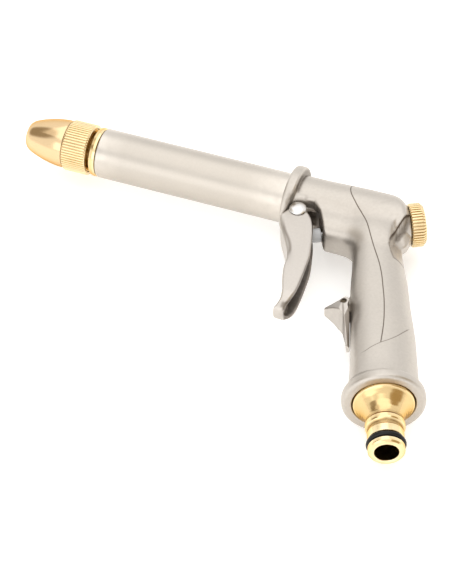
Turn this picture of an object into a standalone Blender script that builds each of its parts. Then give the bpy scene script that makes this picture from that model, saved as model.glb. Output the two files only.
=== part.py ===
"""Hose spray nozzle: long-barrel pistol with a front trigger.

Modelled lying on its right side. +Z is up (the left side of the gun),
-X runs along the barrel towards the nozzle, -Y runs down the handle.
The numbers below are millimetres in the working frame, whose X axis is the
barrel's centre line; V() shifts them so that the origin is the middle of the
bounding box's bottom face, and turns them into metres.
"""
import math

import bmesh
import bpy
from mathutils import Matrix, Vector

# ------------------------------------------------------------------ dimensions
SHIFT = (27.716, 57.875, 18.10)

# barrel, all on the X axis
BARREL_R = 11.7
BARREL_BORE_R = 9.6
BARREL_FRONT_X = -103.4
BARREL_SHOULDER_X = -7.0
SPIGOT_R = 7.4
SPIGOT_BORE_R = 5.6
SPIGOT_END_X = 2.0
SOCKET_R = 7.7

# casting
HOUSING_R = 12.4                     # behind the ring flange
HOUSING_REAR_R = 13.0
RING_R = 16.1                        # ring flange around the barrel's root
RING_X = (-9.9, -4.9)
BLOCK_BOTTOM_Y = -21.9               # underside of the valve block
BLOCK_HALF_Z = 9.4
SLOT_HALF_Z = 4.6                    # half width of the pivot lug

# trigger pivot
PIVOT = (-1.8, -12.0)
EAR_R = 4.4
TRIGGER_HALF_Z = 7.4
TRIGGER_INNER_Z = 5.0
PIN_R = 2.0

# valve and flow-knob axis: K0 is the plane of the knob's front face
K0 = (47.0, 1.64)
KA = math.radians(28.0)
DK = (math.cos(KA), math.sin(KA))
VALVE_FRONT_S = -40.4                # front face of the valve block
SEAT_S = -22.5
STEM_R = 1.7
CHAMBER_R = 6.4
CAP_R = 3.25
KNOB_R = 10.06
KNOB_LEN = 5.8

# handle and inlet axis: E is the centre of the handle's end face
E = (70.4, -104.4)
DHA = math.radians(-69.0)
DH = (math.cos(DHA), math.sin(DHA))
FLANGE_R = 18.1
CUP_R = 13.75
NIPPLE_LEN = 26.6
NIPPLE_R = 7.95
NIPPLE_BORE_R = 5.2
PASSAGE_R = 5.0

# lock catch
CATCH = (36.4, -58.8)
CATCH_PIN_R = 1.2

GAP = 0.3
SEG = 30

MM = 0.001


def V(x, y, z=0.0):
    return Vector(((x + SHIFT[0]) * MM, (y + SHIFT[1]) * MM, (z + SHIFT[2]) * MM))


def on_valve(s, w=0.0, z=0.0):
    """Point at s along the valve axis and w across it (w upwards)."""
    return (K0[0] + s * DK[0] - w * DK[1], K0[1] + s * DK[1] + w * DK[0], z)


def on_handle(t, u=0.0, z=0.0):
    """Point at t along the handle axis (outwards) and u across it (u to the back)."""
    return (E[0] + t * DH[0] - u * DH[1], E[1] + t * DH[1] + u * DH[0], z)


# ------------------------------------------------------------------- the scene
for old in list(bpy.data.objects):
    bpy.data.objects.remove(old, do_unlink=True)

parts = bpy.data.collections.new("hose_spray_nozzle")
tools = bpy.data.collections.new("cutters")
bpy.context.scene.collection.children.link(parts)
bpy.context.scene.collection.children.link(tools)


def material(name, colour, metallic, roughness):
    m = bpy.data.materials.new(name)
    m.use_nodes = True
    b = m.node_tree.nodes["Principled BSDF"]
    b.inputs["Base Color"].default_value = (*colour, 1.0)
    b.inputs["Metallic"].default_value = metallic
    b.inputs["Roughness"].default_value = roughness
    return m


NICKEL = dict(colour=(0.66, 0.62, 0.57), metallic=1.0, roughness=0.38)
NICKEL_FINE = dict(colour=(0.70, 0.66, 0.61), metallic=1.0, roughness=0.30)
BRASS = dict(colour=(0.86, 0.66, 0.33), metallic=1.0, roughness=0.18)
STEEL = dict(colour=(0.78, 0.78, 0.77), metallic=1.0, roughness=0.25)
NYLON = dict(colour=(0.62, 0.62, 0.61), metallic=0.0, roughness=0.45)
RUBBER = dict(colour=(0.02, 0.02, 0.02), metallic=0.0, roughness=0.55)


def put(ob, coll):
    for c in list(ob.users_collection):
        c.objects.unlink(ob)
    coll.objects.link(ob)


def finish(ob, look=None, cutter=False):
    if cutter:
        put(ob, tools)
        ob.hide_render = True
        ob.hide_set(True)
        ob.display_type = 'WIRE'
    else:
        put(ob, parts)
        if look is not None:
            ob.data.materials.clear()
            ob.data.materials.append(material(ob.name, **look))
        ob.data.shade_smooth()
        ob.data.set_sharp_from_angle(angle=math.radians(35))
    return ob


def frame_matrix(origin, axis):
    """Local Z along axis, placed at origin (working millimetres)."""
    q = Vector(axis).normalized().to_track_quat('Z', 'Y')
    return Matrix.Translation(V(*origin)) @ q.to_matrix().to_4x4()


AX_BARREL = ((0.0, 0.0, 0.0), (1.0, 0.0, 0.0))
AX_VALVE = (on_valve(0.0), (DK[0], DK[1], 0.0))
AX_HANDLE = (on_handle(0.0), (DH[0], DH[1], 0.0))


def turned(name, profile, axis, look=None, cutter=False, seg=SEG, closed=False, roll=0.0):
    """Profile points (radius, position along the axis), down the outer side
    from the highest position to the lowest, then back up the bore."""
    mesh = bpy.data.meshes.new(name)
    pts = [(r * MM, 0.0, a * MM) for r, a in profile]
    n = len(pts)
    edges = [(i, i + 1) for i in range(n - 1)]
    if closed:
        edges.append((n - 1, 0))
    mesh.from_pydata(pts, edges, [])
    ob = bpy.data.objects.new(name, mesh)
    bpy.context.scene.collection.objects.link(ob)
    ob.matrix_world = frame_matrix(*axis) @ Matrix.Rotation(math.radians(roll), 4, 'Z')
    m = ob.modifiers.new("turn", 'SCREW')
    m.axis = 'Z'
    m.angle = math.tau
    m.steps = seg
    m.render_steps = seg
    m.use_merge_vertices = True
    m.merge_threshold = 0.00001
    m.use_smooth_shade = True
    return finish(ob, look, cutter)


def ring(name, major, minor, axis, at, look=RUBBER, seg=24, ring_seg=6):
    """An O-ring: a torus about the axis."""
    o, d = axis
    p = (o[0] + d[0] * at, o[1] + d[1] * at, o[2] + d[2] * at)
    bpy.ops.mesh.primitive_torus_add(major_segments=seg, minor_segments=ring_seg,
                                     major_radius=major * MM, minor_radius=minor * MM)
    ob = bpy.context.object
    ob.name = name
    ob.data.name = name
    ob.matrix_world = frame_matrix(p, d)
    return finish(ob, look)


def rod(name, r, p0, p1, look=None, cutter=False, seg=24, roll=0.0):
    """A plain cylinder between two points."""
    a, b = V(*p0), V(*p1)
    d = b - a
    bpy.ops.mesh.primitive_cylinder_add(vertices=seg, radius=r * MM, depth=d.length)
    ob = bpy.context.object
    ob.name = name
    ob.data.name = name
    ob.matrix_world = (Matrix.Translation((a + b) / 2)
                       @ d.normalized().to_track_quat('Z', 'Y').to_matrix().to_4x4()
                       @ Matrix.Rotation(math.radians(roll), 4, 'Z'))
    return finish(ob, look, cutter)


def plate(name, outlines, z0, z1, look=None, cutter=False, matrix=None):
    """A flat outline (with any holes) given the thickness z0..z1."""
    cu = bpy.data.curves.new(name, 'CURVE')
    cu.dimensions = '2D'
    cu.fill_mode = 'BOTH'
    cu.extrude = (z1 - z0) / 2 * MM
    for pts in outlines:
        sp = cu.splines.new('POLY')
        sp.points.add(len(pts) - 1)
        for q, (x, y) in zip(sp.points, pts):
            q.co = (x * MM, y * MM, 0.0, 1.0)
        sp.use_cyclic_u = True
    co = bpy.data.objects.new(name + "_curve", cu)
    bpy.context.scene.collection.objects.link(co)
    if matrix is None:
        matrix = Matrix.Translation(V(0.0, 0.0, (z0 + z1) / 2))
    co.matrix_world = matrix
    bpy.context.view_layer.update()
    dg = bpy.context.evaluated_depsgraph_get()
    mesh = bpy.data.meshes.new_from_object(co.evaluated_get(dg))
    bm = bmesh.new()
    bm.from_mesh(mesh)
    bmesh.ops.remove_doubles(bm, verts=bm.verts, dist=0.000002)
    bmesh.ops.recalc_face_normals(bm, faces=bm.faces)
    bm.to_mesh(mesh)
    bm.free()
    mesh.name = name
    ob = bpy.data.objects.new(name, mesh)
    bpy.context.scene.collection.objects.link(ob)
    ob.matrix_world = matrix
    bpy.data.objects.remove(co, do_unlink=True)
    return finish(ob, look, cutter)


def loft(name, rings, look=None, cutter=False):
    """A closed skin over rings of the same number of points (working mm)."""
    bm = bmesh.new()
    rows = [[bm.verts.new(V(*p)) for p in r] for r in rings]
    n = len(rows[0])
    for a, b in zip(rows[:-1], rows[1:]):
        for i in range(n):
            j = (i + 1) % n
            bm.faces.new((a[i], a[j], b[j], b[i]))
    bm.faces.new(list(reversed(rows[0])))
    bm.faces.new(rows[-1])
    bmesh.ops.recalc_face_normals(bm, faces=bm.faces)
    mesh = bpy.data.meshes.new(name)
    bm.to_mesh(mesh)
    bm.free()
    ob = bpy.data.objects.new(name, mesh)
    bpy.context.scene.collection.objects.link(ob)
    return finish(ob, look, cutter)


def boolean(ob, other, op):
    m = ob.modifiers.new(op.lower() + "_" + other.name, 'BOOLEAN')
    m.operation = op
    m.solver = 'EXACT'
    m.object = other


def join(ob, *others):
    for o in others:
        boolean(ob, o, 'UNION')


def cut(ob, *others):
    for o in others:
        boolean(ob, o, 'DIFFERENCE')


def arc(cx, cy, r, a0, a1, n):
    return [(cx + r * math.cos(math.radians(a0 + (a1 - a0) * i / n)),
             cy + r * math.sin(math.radians(a0 + (a1 - a0) * i / n))) for i in range(n + 1)]


# ================================================================ body casting
# The housing round the barrel's root, cut off at the rear square to the valve axis.
body = turned("body_casting",
              [(0.0, 57.0), (HOUSING_REAR_R, 57.0), (HOUSING_REAR_R, 26.0),
               (HOUSING_R, 6.0), (HOUSING_R, RING_X[1]),
               (RING_R - 1.0, RING_X[1]), (RING_R, RING_X[1] - 1.2),
               (RING_R, RING_X[0] + 1.4), (RING_R - 1.2, RING_X[0]),
               (0.0, RING_X[0])],
              AX_BARREL, NICKEL, seg=40)

rear_shaper = turned("rear_shaper",
                     [(0.0, -0.55), (9.3, -0.55), (10.4, -0.9), (14.0, -3.0), (60.0, -45.0),
                      (60.0, -110.0), (0.0, -110.0)],
                     AX_VALVE, cutter=True, seg=36)
boolean(body, rear_shaper, 'INTERSECT')


def rounded_section(yc, top, bottom, half_z, n=20, p=3.0):
    """Superellipse in the YZ plane."""
    out = []
    for i in range(n):
        a = math.tau * i / n
        c, s = math.cos(a), math.sin(a)
        z = half_z * math.copysign(abs(s) ** (2.0 / p), s)
        h = (top - yc) if c > 0 else (yc - bottom)
        y = yc + h * math.copysign(abs(c) ** (2.0 / p), c)
        out.append((y, z))
    return out


# The valve block under the housing.
block = loft("valve_block",
             [[(x, y, z) for y, z in rounded_section(-11.0, 0.0, BLOCK_BOTTOM_Y, hz)]
              for x, hz in ((6.0, BLOCK_HALF_Z), (20.0, BLOCK_HALF_Z), (34.0, BLOCK_HALF_Z + 1.2),
                            (42.0, BLOCK_HALF_Z + 1.0))], cutter=True)
block_front = plate("block_front",
                    [[on_valve(VALVE_FRONT_S, 20.0)[:2], on_valve(VALVE_FRONT_S, -12.0)[:2],
                      (-15.0, -40.0), (-15.0, 20.0)]], -20.0, 20.0, cutter=True)
cut(block, block_front)

# The boss under the knob.
boss = turned("rear_boss",
              [(0.0, -0.35), (9.0, -0.35), (9.6, -1.0), (9.6, -21.0), (0.0, -21.0)],
              AX_VALVE, cutter=True, seg=32)

# The handle: rounded sections down its axis, then the end flange.
HANDLE = [  # t, front u, back u, half width
    (-104.0, -7.0, 9.0, 8.5),
    (-96.0, -9.0, 10.6, 10.0),
    (-87.0, -10.2, 11.9, 11.0),
    (-75.0, -11.2, 12.9, 11.4),
    (-66.0, -12.0, 13.6, 11.8),
    (-53.0, -12.5, 14.1, 12.3),
    (-35.0, -13.2, 15.2, 13.4),
    (-20.0, -13.9, 15.3, 14.3),
    (-12.0, -14.6, 15.4, 14.8),
    (-5.5, -15.6, 15.6, 15.6),
    (-3.0, -15.9, 15.9, 15.9),
]


def handle_ring(t, uf, ub, hz, n=26, p=2.2):
    out = []
    uc = (uf + ub) / 2
    h = (ub - uf) / 2
    for i in range(n):
        a = math.tau * i / n
        c, s = math.cos(a), math.sin(a)
        u = uc + h * math.copysign(abs(c) ** (2.0 / p), c)
        z = hz * math.copysign(abs(s) ** (2.0 / p), s)
        out.append(on_handle(t, u, z))
    return out


handle = loft("handle", [handle_ring(*row) for row in HANDLE], cutter=True)
flange = turned("end_flange",
                [(0.0, 0.0), (FLANGE_R - 1.4, 0.0), (FLANGE_R - 0.3, -0.5), (FLANGE_R, -1.4),
                 (FLANGE_R, -3.4), (FLANGE_R - 0.5, -4.6), (FLANGE_R - 1.6, -5.4), (0.0, -5.4)],
                AX_HANDLE, cutter=True, seg=40)

# The pivot lug between the trigger's ears.
px, py = PIVOT
lug = plate("pivot_lug",
            [[(RING_X[0] + 0.6, -5.0), (RING_X[0] + 0.6, -13.6), (-6.2, -13.6)]
             + arc(px, py, EAR_R, 200.0, 360.0, 12)
             + [(px + EAR_R, -5.0)]], -SLOT_HALF_Z, SLOT_HALF_Z, cutter=True)

# The lug that carries the lock catch.
cx, cy = CATCH
catch_lug = plate("catch_lug",
                  [arc(cx, cy, 2.5, 90.0, 270.0, 12)
                   + [(cx + 7.0, cy - 2.5), (cx + 7.0, cy + 2.5)]], -3.6, 3.6, cutter=True)

# Room for the trigger's ears and wings beside the lug.
SLOT = [(-4.8, -7.3), (4.4, -7.3), (8.3, -10.6), (10.9, -15.0), (15.2, -23.2),
        (15.2, -34.0), (-8.3, -34.0), (-8.3, -15.5), (-7.0, -12.5), (-6.7, -9.5)]
slot_left = plate("slot_left", [SLOT], SLOT_HALF_Z, 24.0, cutter=True)
slot_right = plate("slot_right", [SLOT], -24.0, -SLOT_HALF_Z, cutter=True)
# The opening behind the lug, where the stem comes out.
slot_mid = plate("slot_mid",
                 [[(px + EAR_R - 0.17, -8.7), (8.0, -8.7), on_valve(VALVE_FRONT_S - 0.07, 6.1)[:2],
                   on_valve(VALVE_FRONT_S - 0.07, -9.0)[:2], (12.0, -33.0),
                   (px + EAR_R - 0.17, -33.0)]],
                 -SLOT_HALF_Z - 0.6, SLOT_HALF_Z + 0.6, cutter=True)

# The step round the boss, deepest below the knob.
STEP = [(62.0, 3.5), (48.9, 2.4), (46.5, -5.7), (44.8, -11.5), (44.5, -18.7), (45.0, -22.1),
        (47.0, -25.3), (49.5, -29.2), (62.0, -29.2)]
STEP_Z = 8.2
step_left = plate("step_left", [STEP], STEP_Z, 24.0, cutter=True)
step_right = plate("step_right", [STEP], -24.0, -STEP_Z, cutter=True)

# Waterways and bores.
socket = turned("barrel_socket",
                [(0.0, 2.6), (SOCKET_R, 2.6), (SOCKET_R, BARREL_SHOULDER_X + 0.3),
                 (BARREL_R + 0.3, BARREL_SHOULDER_X + 0.3), (BARREL_R + 0.3, -14.0), (0.0, -14.0)],
                AX_BARREL, cutter=True, roll=1.7)
outlet_passage = rod("outlet_passage", 4.0, (1.0, 0.0, 0.0), (19.5, 0.0, 0.0), cutter=True,
                     seg=20, roll=4.0)
outlet_port = rod("outlet_port", 3.0, on_valve(-26.2, -0.5), on_valve(-26.2, 12.6), cutter=True)
valve_bores = turned("valve_bores",
                     [(0.0, 4.0), (7.6, 4.0), (7.6, -9.0), (CHAMBER_R, -9.0),
                      (CHAMBER_R, SEAT_S - 0.0), (3.8, SEAT_S), (3.8, -29.4), (2.0, -29.4),
                      (2.0, -31.0), (4.3, -31.0), (4.3, -44.0), (0.0, -44.0)],
                     AX_VALVE, cutter=True, roll=2.3)
passage = rod("handle_passage", PASSAGE_R, on_handle(-12.0), on_handle(-106.2), cutter=True,
              roll=3.7)
cup = turned("inlet_cup",
             [(0.0, 6.0), (CUP_R, 6.0), (CUP_R, -9.0), (10.7, -9.0), (10.7, -20.0), (0.0, -20.0)],
             AX_HANDLE, cutter=True, seg=32)
pivot_hole = rod("pivot_hole", PIN_R + 0.08, (px, py, -12.0), (px, py, 12.0), cutter=True)
catch_hole = rod("catch_hole", CATCH_PIN_R + 0.08, (cx, cy, -9.0), (cx, cy, 9.0), cutter=True,
                 seg=16)

join(body, block, handle, flange)
cut(body, slot_left, slot_right, step_left, step_right)
join(body, lug, catch_lug, boss)
cut(body, slot_mid, socket, outlet_passage, outlet_port, valve_bores, passage, cup,
    pivot_hole, catch_hole)

# ====================================================================== barrel
turned("barrel_tube",
       [(SPIGOT_R, SPIGOT_END_X), (SPIGOT_R, -0.4), (6.4, -0.4), (6.4, -1.9), (SPIGOT_R, -1.9),
        (SPIGOT_R, BARREL_SHOULDER_X), (BARREL_R, BARREL_SHOULDER_X),
        (BARREL_R, BARREL_FRONT_X + 0.5), (BARREL_R - 0.5, BARREL_FRONT_X),
        (BARREL_BORE_R, BARREL_FRONT_X), (BARREL_BORE_R, -12.0), (SPIGOT_BORE_R, -10.0),
        (SPIGOT_BORE_R, SPIGOT_END_X)],
       AX_BARREL, NICKEL_FINE, closed=True)
ring("barrel_oring", 7.05, 0.5, AX_BARREL, -1.15)

# ====================================================================== nozzle
# The spindle screws into the barrel; the head screws along it.
spindle = turned("nozzle_spindle",
                 [(0.0, -113.0), (6.4, -113.0), (6.4, -91.0), (9.3, -91.0), (9.3, -101.6),
                  (8.4, -101.6), (8.4, -102.8), (9.3, -102.8), (9.3, -103.7), (11.5, -103.7),
                  (11.6, -104.2), (11.4, -106.4), (11.0, -106.7), (8.3, -106.7), (8.3, -117.6),
                  (7.6, -118.3), (2.6, -118.3), (2.0, -119.5), (1.9, -137.0), (0.9, -139.0),
                  (0.0, -139.0)],
                 AX_BARREL, BRASS)
for i in range(6):
    a = math.tau * i / 6
    y, z = 4.6 * math.cos(a), 4.6 * math.sin(a)
    cut(spindle, rod("spindle_port_%d" % i, 1.15, (-111.0, y, z), (-120.5, y, z),
                     cutter=True, seg=8))
ring("spindle_oring", 8.98, 0.44, AX_BARREL, -102.2)

turned("nozzle_tip",
       [(8.6, -108.7), (10.2, -108.7), (10.2, -120.8), (11.3, -120.8), (11.2, -124.0),
        (10.6, -129.0), (9.6, -134.0), (8.2, -139.0), (7.2, -141.4), (6.2, -142.3),
        (5.6, -142.5), (3.6, -142.5), (2.6, -141.5), (2.6, -136.0), (4.0, -133.5),
        (8.6, -123.5), (8.6, -113.0), (9.45, -113.0), (9.45, -111.6), (8.6, -111.6)],
       AX_BARREL, BRASS, closed=True)
ring("nozzle_seal_ring", 8.9, 0.45, AX_BARREL, -112.3)


def star(n, r_out, r_in, duty=0.5):
    """Outline of a ribbed ring: n ribs between r_in and r_out."""
    out = []
    for i in range(n):
        a = math.tau * i / n
        h = math.tau / n
        out.append((r_out * math.cos(a), r_out * math.sin(a)))
        out.append((r_in * math.cos(a + h * duty), r_in * math.sin(a + h * duty)))
    return out


def circle(r, n):
    return [(r * math.cos(math.tau * i / n), r * math.sin(math.tau * i / n)) for i in range(n)]


plate("nozzle_grip_ring", [star(48, 12.1, 11.6), circle(10.5, 32)], -6.1, 6.1,
      look=BRASS, matrix=frame_matrix((-114.5, 0.0, 0.0), (1.0, 0.0, 0.0)))

# ===================================================================== trigger
# Side outline of the wings, front edge down and rear edge back up.
FRONT_EDGE = [(-6.2, -13.0), (-7.2, -15.5), (-8.0, -18.2), (-6.2, -23.0), (-3.4, -28.0),
              (-0.4, -33.0), (2.3, -38.0), (3.8, -42.4), (4.2, -46.0), (4.8, -49.5),
              (6.5, -55.5), (8.3, -60.5), (9.2, -64.0), (9.2, -66.3), (8.5, -68.2),
              (7.6, -69.4), (7.6, -70.5), (8.7, -71.0)]
REAR_EDGE = [(10.6, -71.0), (12.0, -69.9), (12.4, -68.6), (12.9, -67.2), (14.0, -64.2),
             (14.6, -60.0), (14.5, -53.0), (13.9, -45.0), (13.2, -38.0), (11.6, -31.0),
             (9.0, -22.0), (6.6, -16.5), (4.2, -13.2)]
outline = FRONT_EDGE + REAR_EDGE + arc(px, py, EAR_R, 0.0, 180.0, 14)
trigger = plate("trigger", [outline], -TRIGGER_HALF_Z, TRIGGER_HALF_Z, look=NICKEL)
bev = trigger.modifiers.new("edge", 'BEVEL')
bev.width = 1.2 * MM
bev.segments = 2
bev.limit_method = 'ANGLE'
bev.angle_limit = math.radians(60)
# The inside of the channel, open to the back and round the lug.
INNER = [(-20.0, -6.0), (-20.0, -17.4), (-5.4, -17.4), (-3.4, -23.6), (-0.8, -28.6),
         (2.0, -33.6), (4.6, -38.6), (6.0, -44.0), (7.0, -50.0), (8.9, -56.5),
         (10.6, -61.0), (11.4, -64.5), (11.2, -67.4), (11.0, -69.0), (30.0, -69.0),
         (30.0, -6.0)]
channel = plate("trigger_channel", [INNER], -TRIGGER_INNER_Z, TRIGGER_INNER_Z, cutter=True)
YZ_PLANE = Matrix(((0, 0, 1, 0), (1, 0, 0, 0), (0, 1, 0, 0), (0, 0, 0, 1)))


def spoon(name, half, start, length):
    """Straight sides that run into a half ellipse at the lower end, seen along X."""
    out = [(10.0, half), (start, half)]
    for i in range(1, 16):
        a = math.pi * i / 16
        out.append((start - length * math.sin(a), half * math.cos(a)))
    out += [(start, -half), (10.0, -half)]
    return plate(name, [out], -60.0, 60.0, cutter=True,
                 matrix=Matrix.Translation(V(0.0, 0.0, 0.0)) @ YZ_PLANE)


boolean(trigger, spoon("trigger_spoon", TRIGGER_HALF_Z + 0.05, -60.5, 10.55), 'INTERSECT')
boolean(channel, spoon("channel_spoon", TRIGGER_INNER_Z + 0.05, -60.5, 8.2), 'INTERSECT')
cut(trigger, channel)
# The pad that pushes the stem cap, square to the valve axis.
PAD_S = -49.5
pad = plate("trigger_pad",
            [[on_valve(PAD_S, 3.2)[:2], on_valve(PAD_S, -3.4)[:2],
              (-1.4, -29.5), (-4.5, -23.8), (-4.0, -20.8)]],
            -TRIGGER_INNER_Z - 0.6, TRIGGER_INNER_Z + 0.6, cutter=True)
join(trigger, pad)
cut(trigger, rod("trigger_pin_hole", PIN_R + 0.08, (px, py, -12.0), (px, py, 12.0), cutter=True))

# A shaft with a domed rivet head on the left and an upset end on the right.
turned("trigger_pin",
       [(0.0, 9.0), (1.6, 8.95), (2.8, 8.7), (3.8, 8.2), (4.2, 7.7), (PIN_R, 7.7),
        (PIN_R, -7.7), (3.0, -7.7), (2.6, -8.3), (1.6, -8.6), (0.0, -8.6)],
       ((px, py, 0.0), (0.0, 0.0, 1.0)), STEEL, seg=28)

# ================================================================ valve pieces
turned("stem_cap",
       [(0.0, -46.6), (STEM_R + 0.1, -46.6), (STEM_R + 0.1, -40.6), (CAP_R - 0.3, -40.6),
        (CAP_R, -40.9), (CAP_R, -48.2), (2.4, -48.9), (1.2, -49.15), (0.0, -49.2)],
       AX_VALVE, NYLON, seg=22)
turned("valve_stem",
       [(0.0, -14.8), (1.3, -14.8), (STEM_R, -15.2), (STEM_R, -46.0), (1.3, -46.4), (0.0, -46.4)],
       AX_VALVE, STEEL, seg=24)
turned("poppet_washer",
       [(5.0, -20.3), (5.2, -20.5), (5.2, -22.0), (5.0, -22.2), (STEM_R + 0.15, -22.2),
        (STEM_R + 0.15, -20.3)],
       AX_VALVE, RUBBER, seg=22, closed=True)
turned("valve_poppet",
       [(3.6, -17.5), (5.2, -17.5), (5.6, -17.9), (5.6, -19.6), (5.2, -20.0),
        (STEM_R + 0.15, -20.0), (STEM_R + 0.15, -17.5)],
       AX_VALVE, BRASS, seg=22, closed=True)
nut = plate("poppet_nut",
            [[(3.5 * math.cos(math.tau * i / 6), 3.5 * math.sin(math.tau * i / 6))
              for i in range(6)], circle(STEM_R + 0.12, 24)], -0.9, 0.9, look=BRASS,
            matrix=frame_matrix(on_valve(-16.3), (DK[0], DK[1], 0.0)))
turned("gland_nut",
       [(4.0, -32.7), (4.0, -39.6), (3.7, -40.0), (3.35, -40.0), (3.35, -36.3),
        (STEM_R + 0.15, -36.0), (STEM_R + 0.15, -32.7)],
       AX_VALVE, BRASS, seg=22, closed=True)
ring("stem_oring", 2.58, 0.68, AX_VALVE, -31.85, seg=20, ring_seg=6)

# The return spring between the poppet and the rear plug.
def coil(name, r, wire, s0, s1, turns, per_turn=16, look=STEEL):
    cu = bpy.data.curves.new(name, 'CURVE')
    cu.dimensions = '3D'
    cu.bevel_depth = wire / 2 * MM
    cu.bevel_resolution = 2
    cu.use_fill_caps = True
    n = int(turns * per_turn)
    sp = cu.splines.new('POLY')
    sp.points.add(n)
    a = s0 + wire / 2
    b = s1 - wire / 2
    for i in range(n + 1):
        f = i / n
        # closed end turns: the pitch fades out at both ends
        g = f + 0.35 / turns * math.sin(math.tau * f) * -1.0
        th = math.tau * turns * f
        sp.points[i].co = (r * math.cos(th) * MM, r * math.sin(th) * MM,
                           (a + (b - a) * min(max(g, 0.0), 1.0)) * MM, 1.0)
    ob = bpy.data.objects.new(name, cu)
    bpy.context.scene.collection.objects.link(ob)
    ob.matrix_world = frame_matrix(*AX_VALVE)
    cu.materials.append(material(name, **look))
    put(ob, parts)
    return ob


coil("valve_spring", 4.55, 0.8, -17.2, -8.2, 4.5, per_turn=10)

# ============================================================ rear flow control
turned("rear_bonnet",
       [(2.9, -0.7), (7.0, -0.7), (7.3, -1.0), (7.3, -3.0), (6.5, -3.0), (6.5, -4.4), (7.3, -4.4),
        (7.3, -7.6), (7.0, -7.9), (3.3, -7.9), (3.3, -2.6), (2.9, -2.2)],
       AX_VALVE, BRASS, closed=True)
ring("bonnet_oring", 7.0, 0.42, AX_VALVE, -3.7)
turned("flow_spindle",
       [(0.0, 0.2), (1.6, 0.2), (1.6, 3.3), (2.4, 3.3), (2.7, 3.0), (2.7, -5.3), (2.0, -5.3),
        (2.0, -6.7), (2.7, -6.7), (2.7, -8.6), (1.6, -10.4), (0.0, -10.4)],
       AX_VALVE, BRASS, seg=20)
ring("flow_seal_ring", 2.62, 0.5, AX_VALVE, -6.0, seg=20, ring_seg=6)
knob = plate("flow_knob", [star(44, KNOB_R, KNOB_R - 0.55)], -KNOB_LEN / 2, KNOB_LEN / 2,
             look=BRASS, matrix=frame_matrix(on_valve(KNOB_LEN / 2), (DK[0], DK[1], 0.0)))
join(knob, turned("knob_dome", [(0.0, 6.8), (8.4, 6.8), (9.2, 6.3), (9.3, 5.0), (0.0, 5.0)],
                  AX_VALVE, cutter=True))
cut(knob, turned("knob_bore",
                 [(0.0, 9.0), (3.4, 9.0), (3.4, 5.0), (1.75, 5.0), (1.75, 3.7), (2.95, 3.7),
                  (2.95, -3.0), (0.0, -3.0)], AX_VALVE, cutter=True, seg=28))
turned("knob_screw",
       [(0.0, 6.5), (2.4, 6.5), (3.0, 6.0), (3.0, 5.25), (1.4, 5.25), (1.4, 0.7), (1.0, 0.4),
        (0.0, 0.4)],
       AX_VALVE, STEEL, seg=24)

# ======================================================================= inlet
turned("inlet_adapter",
       [(NIPPLE_BORE_R, NIPPLE_LEN), (7.3, NIPPLE_LEN), (NIPPLE_R, 25.8), (NIPPLE_R, 23.8),
        (6.2, 23.8), (6.2, 20.4), (NIPPLE_R, 20.4), (NIPPLE_R, 16.6), (7.4, 16.0), (7.4, 14.4),
        (8.3, 13.8), (8.6, 13.2), (8.6, 11.4), (8.0, 10.6), (8.0, 8.8), (8.5, 7.0), (9.5, 4.8),
        (10.9, 2.7), (12.3, 1.1), (13.2, 0.4), (13.4, -0.4), (13.4, -6.6), (10.4, -6.6), (10.4, -15.6), (10.0, -16.0),
        (7.0, -16.0), (NIPPLE_BORE_R, -12.0)],
       AX_HANDLE, BRASS, closed=True, seg=32)
turned("inlet_washer",
       [(13.2, -7.0), (13.4, -7.2), (13.4, -8.5), (13.2, -8.7), (10.8, -8.7), (10.8, -7.0)],
       AX_HANDLE, RUBBER, closed=True, seg=28)
ring("nipple_oring", 7.4, 1.1, AX_HANDLE, 22.1, ring_seg=8)

# ================================================================== lock catch
# A leaf: a tongue towards the trigger, ears on the pin, a tail down the handle.
catch = plate("lock_catch",
              [[(28.6, -62.3), (28.8, -61.3), (31.2, -60.0), (34.2, -57.9), (36.2, -56.0),
                (37.4, -56.0), (38.6, -57.2), (38.8, -60.2),
                on_handle(-48.0, -14.2)[:2], on_handle(-40.0, -14.0)[:2],
                on_handle(-31.5, -14.1)[:2], on_handle(-32.0, -15.1)[:2],
                on_handle(-40.0, -15.4)[:2], on_handle(-47.0, -16.0)[:2],
                on_handle(-49.6, -17.4)[:2], (33.0, -62.9)]],
              -7.0, 7.0, look=NICKEL_FINE)
catch_plan = plate("catch_plan",
                   [[(28.0, -2.8), (36.0, -7.0), (39.5, -7.0), (46.9, -0.9), (46.9, 0.9),
                     (39.5, 7.0), (36.0, 7.0), (28.0, 2.8)]], -40.0, 40.0, cutter=True,
                   matrix=Matrix.Translation(V(0.0, -60.0, 0.0))
                   @ Matrix.Rotation(math.radians(90.0), 4, 'X'))
boolean(catch, catch_plan, 'INTERSECT')
a125 = math.radians(125.0)
cut(catch,
    plate("catch_slot",
          [arc(cx, cy, 2.8, 125.0, 270.0, 12)
           + [(cx + 20.0, cy - 2.8), (cx + 20.0, cy + 16.0),
              (cx + 16.0 * math.cos(a125), cy + 16.0 * math.sin(a125))]],
          -3.9, 3.9, cutter=True),
    rod("catch_pin_hole", CATCH_PIN_R + 0.08, (cx, cy, -12.0), (cx, cy, 12.0), cutter=True,
        seg=16))
rod("catch_pin", CATCH_PIN_R, (cx, cy, -6.3), (cx, cy, 6.3), look=STEEL, seg=16)
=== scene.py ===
import math

import bpy
import numpy as np
from mathutils import Matrix, Vector


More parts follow.
